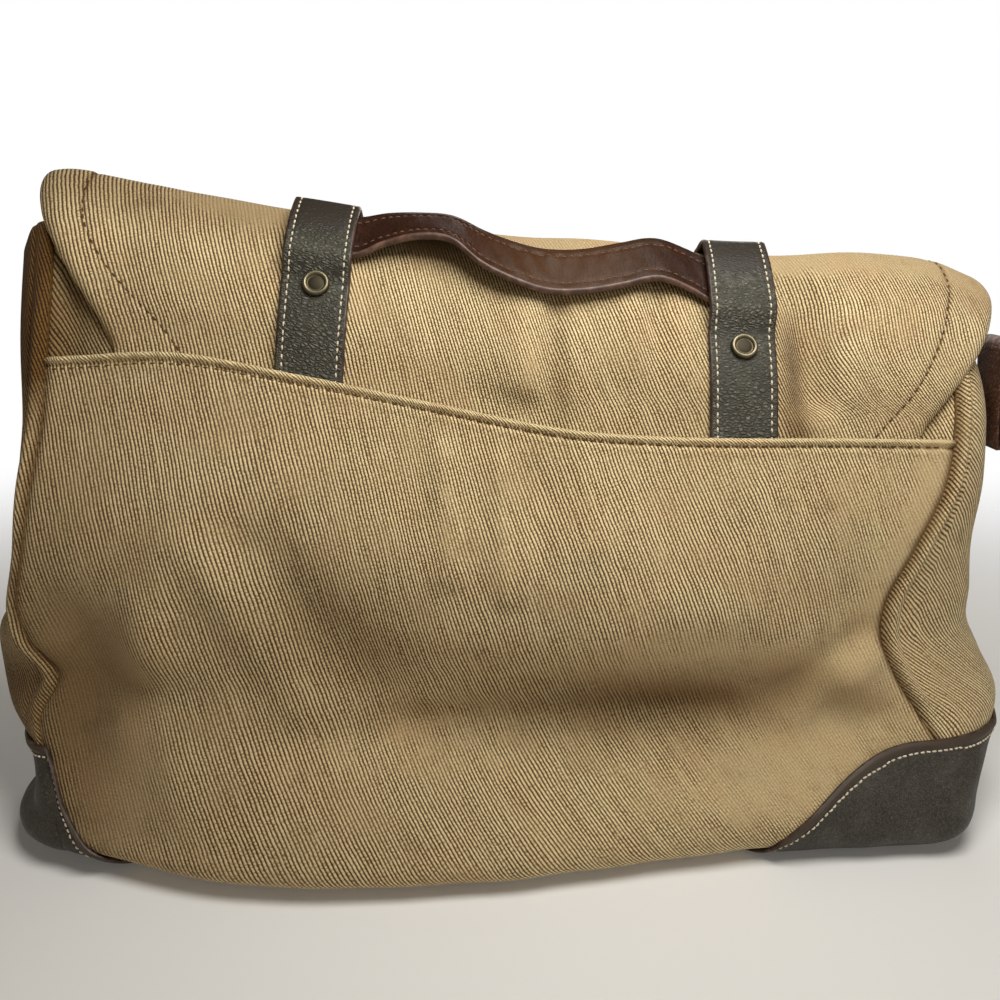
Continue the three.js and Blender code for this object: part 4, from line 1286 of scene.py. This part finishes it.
def patch(name):
    """A corner patch laid over the back, the gusset and the front, with a turned upper edge."""
    plan = PATCHES[name]
    toward = SIDES[name]
    curve = np.array(plan["edge"], float)
    t = np.linspace(0, 1, 200)[:, None]
    line = (1 - t)**3 * curve[0] + 3 * (1 - t)**2 * t * curve[1]
    line = line + 3 * (1 - t) * t**2 * curve[2] + t**3 * curve[3]
    reach, level_top = line[::-1, 0], line[::-1, 1]

    back_shares = toward * np.linspace(plan["share"] - 0.02, 1, 46)[:-1]
    gusset_shares = np.linspace(0, 1, 40)[:-1]
    front_shares = -toward * (1 - np.linspace(0, 0.62, 24))
    spots = [lambda z, s=s: back_point(s, z) for s in back_shares]
    spots += [lambda z, s=s: gusset_point(toward, s, z) for s in gusset_shares]
    spots += [lambda z, s=s: front_point(s, z) for s in front_shares]

    def around(level):
        """The body's skin from the patch's foot on the back to its foot on the front."""
        return np.stack([spot(levels) for spot, levels in zip(spots, level.T)], axis=1)

    top = np.full((1, len(spots)), curve[0, 1])
    for _ in range(PATCH_FITS):
        x = np.abs(around(top)[..., 0])
        top = 0.5 * top + 0.5 * np.interp(x, reach, level_top, left=PATCH["foot"] + 0.3)
    share = stations(*PATCH_ROWS)[:, None]
    level = PATCH["foot"] + (top - PATCH["foot"]) * share
    grid = around(level)
    if toward < 0:
        grid = grid[:, ::-1]
    for _ in range(PATCH_SMOOTHS):
        grid[:, 1:-1] = 0.5 * grid[:, 1:-1] + 0.25 * (grid[:, :-2] + grid[:, 2:])
    below = both_ends(grid, 0)[1]
    rise = PATCH["above"] + PATCH["thick"] + 0.7 * hump(below, PATCH_RIM / 2, 1.4)
    rise = rise - 0.3 * hump(below, PATCH_RIM + 0.4, 0.7)
    rise = rise + 0.25 * ripple(grid[..., 0] + grid[..., 1], grid[..., 2], 20, 5)
    out = grid_normals(grid)
    out[..., 2] = np.maximum(out[..., 2], -0.25)
    out = unit(out)
    face = grid + out * rise[..., None]
    turned_edge = 1 - ease(below, PATCH_RIM - 0.6, PATCH_RIM + 0.6)
    piece(
        f"corner_patch_{name}_leather", finishes=[PATCH_LEATHER, STRAP_EDGE], node=f"corner_patch_{name}",
        slot="patch_leather", **ply(face, PATCH["thick"], cut_of(face), out, worn=turned_edge),
    )
    columns = np.nonzero(below[0] > PATCH_STITCH_IN + 2)[0]
    rows = np.argmin(np.abs(below - PATCH_STITCH_IN), axis=0)[columns]
    path, out = face[rows, columns], out[rows, columns]
    stitch_row(f"corner_patch_{name}_stitches", path, out, CREAM_THREAD, "patch")


def side_frame(side, share):
    """A place on a gusset that a tab stands on: its foot, and its outward, across and up directions."""
    level = float(TAB["level"])
    foot = gusset_point(side, share, level)
    head = gusset_point(side, share, level + TAB["length"])
    lean = math.atan2(head[0] - foot[0], head[2] - foot[2])
    outward = side * np.array([math.cos(lean), 0, -math.sin(lean)])
    reach = level + TAB["length"] + 2 * TAB["eye"]
    shares, levels = np.meshgrid(share + np.linspace(-0.2, 0.2, 5), np.arange(level - 2, reach + 1, 2))
    clear = max(0.0, float(np.max((gusset_point(side, shares, levels) - foot) @ outward)))
    up = np.array([math.sin(lean), 0, math.cos(lean)])
    across = np.cross(up, outward)
    return foot + outward * (clear + 1.5 * PLY_GAP), outward, across, up


TAB_SHARES = {"left": 0.8, "right": 0.5}  # where on their gussets the tabs stand
TAB_BEVEL = 0.7
TAB_STITCH_IN = 3


def side_tab(name):
    """A leather strip on the gusset, folded round the bar of a plain brass ring."""
    place, outward, across, up = side_frame(SIDES[name], TAB_SHARES[name])
    thick, length, eye, hole = TAB["thick"], TAB["length"], TAB["eye"], TAB["hole"]
    centre = (eye, length + 0.8 * eye)
    reach = math.degrees(math.acos((thick - eye) / eye))
    outline = [(0.4, 0), (thick - 0.4, 0), (thick, 0.6)]
    outline += [(thick, z) for z in np.linspace(3, length - 4, 12)]
    outline += arc(centre, eye, -reach, 180, 26)
    outline += [(0, z) for z in np.linspace(length - 4, 0.6, 14)]
    bore = arc(centre, hole, 0, 360, 25)[:-1]
    half = TAB["width"] / 2
    bevel = TAB_BEVEL
    slices = [(-half, bevel), (-half + 0.3 * bevel, 0.3 * bevel), (-half + bevel, 0)]
    slices += [(y, 0) for y in np.linspace(-half + 2, half - 2, 9)]
    slices += [(half - bevel, 0), (half - 0.3 * bevel, 0.3 * bevel), (half, bevel)]
    shape = np.array(outline)
    ahead = np.roll(shape, -1, axis=0) - np.roll(shape, 1, axis=0)
    inward = unit(np.stack([-ahead[:, 1], ahead[:, 0]], axis=-1))
    hole_shape = np.array(bore)
    hole_in = unit(hole_shape - np.array(centre))
    points, faces, flats = [], [], []
    n, m = len(shape), len(hole_shape)
    for y, inset in slices:
        outer = shape + inward * inset
        inner = hole_shape + hole_in * 0.4 * inset
        for px, pz in [*outer, *inner]:
            points.append(place + outward * px + across * y + up * pz)
            flats.append((y, pz))
    step = n + m
    for s in range(len(slices) - 1):
        low, high = s * step, (s + 1) * step
        for c in range(n):
            d = (c + 1) % n
            faces.append([low + c, high + c, high + d, low + d])
        for c in range(m):
            d = (c + 1) % m
            faces.append([low + n + c, low + n + d, high + n + d, high + n + c])
    points = np.array(points)
    made = piece(f"side_tab_{name}_leather", points, faces, np.array(flats), [TAB_LEATHER],
                 f"side_tab_{name}", "tab_leather")
    close_ends(made)
    for hand, word in ((-1, "back"), (1, "front")):
        z = np.linspace(2, length - 5, 40)[:, None]
        path = place + outward * thick + across * hand * (half - TAB_STITCH_IN) + up * z
        out = np.broadcast_to(outward, path.shape)
        stitch_row(f"side_tab_{name}_{word}_stitches", path, out, CREAM_THREAD, "tab")
    side_ring(name, place + outward * eye + up * (length + 0.8 * eye), outward, across, up)


def close_ends(made):
    """Close a drilled bar's two ends: faces between the outline and the bore."""
    mesh = bmesh.new()
    mesh.from_mesh(made.data)
    open_edges = [edge for edge in mesh.edges if edge.is_boundary]
    filled = bmesh.ops.triangle_fill(mesh, edges=open_edges, use_beauty=True)
    for face in filled["geom"]:
        if isinstance(face, bmesh.types.BMFace):
            face.smooth = False
    bmesh.ops.recalc_face_normals(mesh, faces=mesh.faces)
    mesh.to_mesh(made.data)
    mesh.free()


RING_SIDES = 14


def side_ring(name, centre, outward, across, up):
    """A plain rounded-oblong ring of brass wire, hanging from the tab's eye."""
    wire, corner = RING["wire"], RING["corner"]
    flat = RING["width"] / 2 - corner
    top = RING["height"] - corner
    path = [(v, 0.0) for v in np.linspace(-flat, flat, 12)[:-1]]
    path += arc((flat, corner), corner, -90, 0, 10)
    path += arc((flat, top), corner, 0, 90, 10)
    path += [(v, float(RING["height"])) for v in np.linspace(flat, -flat, 12)[1:-1]]
    path += arc((-flat, top), corner, 90, 180, 10)
    path += arc((-flat, corner), corner, 180, 270, 10)[:-1]
    path = np.array(path)
    ahead = unit(np.roll(path, -1, axis=0) - np.roll(path, 1, axis=0))
    hang = math.radians(RING["hang"])
    down = up * math.cos(hang) + outward * math.sin(hang)
    face = outward * math.cos(hang) - up * math.sin(hang)
    points, flats = [], []
    length = np.concatenate([[0], np.cumsum(np.linalg.norm(np.diff(path, axis=0), axis=1))])
    for i, (a, b) in enumerate(path):
        for k in range(RING_SIDES):
            turn = math.tau * k / RING_SIDES
            push = wire * math.cos(turn)
            spot = (a + ahead[i, 1] * push) * across + (b - ahead[i, 0] * push) * down
            points.append(centre + spot + face * wire * math.sin(turn))
            flats.append((length[i], k * 0.7))
    faces = np.array(loft(len(path) + 1, RING_SIDES)[:-2]) % len(points)
    piece(
        f"side_ring_{name}_brass", np.array(points), faces.tolist(), np.array(flats), [BRASS],
        f"side_ring_{name}", "brass",
    )


# Stage: a pale floor, a near key lamp, weak side and rear lamps and a warm low sky

FLOOR_HALF = 6  # metres
FLOOR_FADE = (0.3, 0.9)  # it fades out between these distances


def floor():
    size = FLOOR_HALF
    mesh = bpy.data.meshes.new("floor")
    corners = [(-size, -size, 0), (size, -size, 0), (size, size, 0), (-size, size, 0)]
    mesh.from_pydata(corners, [], [(0, 1, 2, 3)])
    f = Finish(bpy.data.materials.new("pale_floor"))
    place = f.node("TexCoord", out=3)
    cloud = f.node("TexNoise", {}, {"Vector": place, "Scale": 3.0})
    out = f.node("VectorMath", {"operation": "LENGTH"}, {0: place}, out=1)
    f.surface(
        base_color=f.blend(cloud, colour(236, 236, 235), colour(242, 242, 241)), roughness=0.9,
        alpha=f.between(out, *FLOOR_FADE, 1.0, 0.0), specular_ior_level=0.2,
        emission_color=colour(255, 253, 250), emission_strength=0.06,
    )
    mesh.materials.append(f.owner)
    placed("floor", mesh)


LAMPS = {
    "key": {"place": (0.11, -0.16, 0.57), "size": 0.35, "watts": 2.35, "tint": (1, 0.97, 0.91)},
    "side": {"place": (0.8, -0.6, 0.3), "size": 0.5, "watts": 0.55, "tint": (1, 1, 1)},
    "rear": {"place": (0.3, 1.4, 0.6), "size": 1.0, "watts": 8, "tint": (1, 0.98, 0.95)},
}
AIM = (0, 0, 0.12)
SKY = {"low": (0.24, 0.19, 0.13, 1), "high": (0.02, 0.02, 0.02, 1)}


def lights():
    for name, plan in LAMPS.items():
        lamp = bpy.data.lights.new(name, "AREA")
        lamp.shape = "DISK"
        lamp.size = plan["size"]
        lamp.energy = plan["watts"]
        lamp.color = plan["tint"]
        made = placed(name, lamp)
        made.location = plan["place"]
        made.visible_camera = False
        aim = Vector(AIM) - Vector(plan["place"])
        made.rotation_euler = aim.to_track_quat("-Z", "Y").to_euler()
    scene = bpy.context.scene
    scene.world = bpy.data.worlds.new("studio")
    f = Finish(scene.world)
    split = f.node("SeparateXYZ", {}, {0: f.node("TexCoord")})
    high = f.between(Value(f, split.socket.node.outputs[2]), 0.0, 0.9)
    glow = f.node("Background", {}, {"Color": f.blend(high, SKY["low"], SKY["high"])})
    white = f.node("Background", {}, {"Color": (1, 1, 1, 1)})
    both = f.node("MixShader", {}, {0: f.node("LightPath"), 1: glow, 2: white})
    f.node("OutputWorld", {}, {"Surface": both}, out=None)
    scene.view_settings.view_transform = "Standard"


camera()
pocket()
back_panel()
for side in SIDES:
    gusset(side)
front_panel()
base_panel()
flap()
for side in SIDES:
    strap(side)
handle()
for side in SIDES:
    patch(side)
for side in SIDES:
    side_tab(side)
floor()
lights()
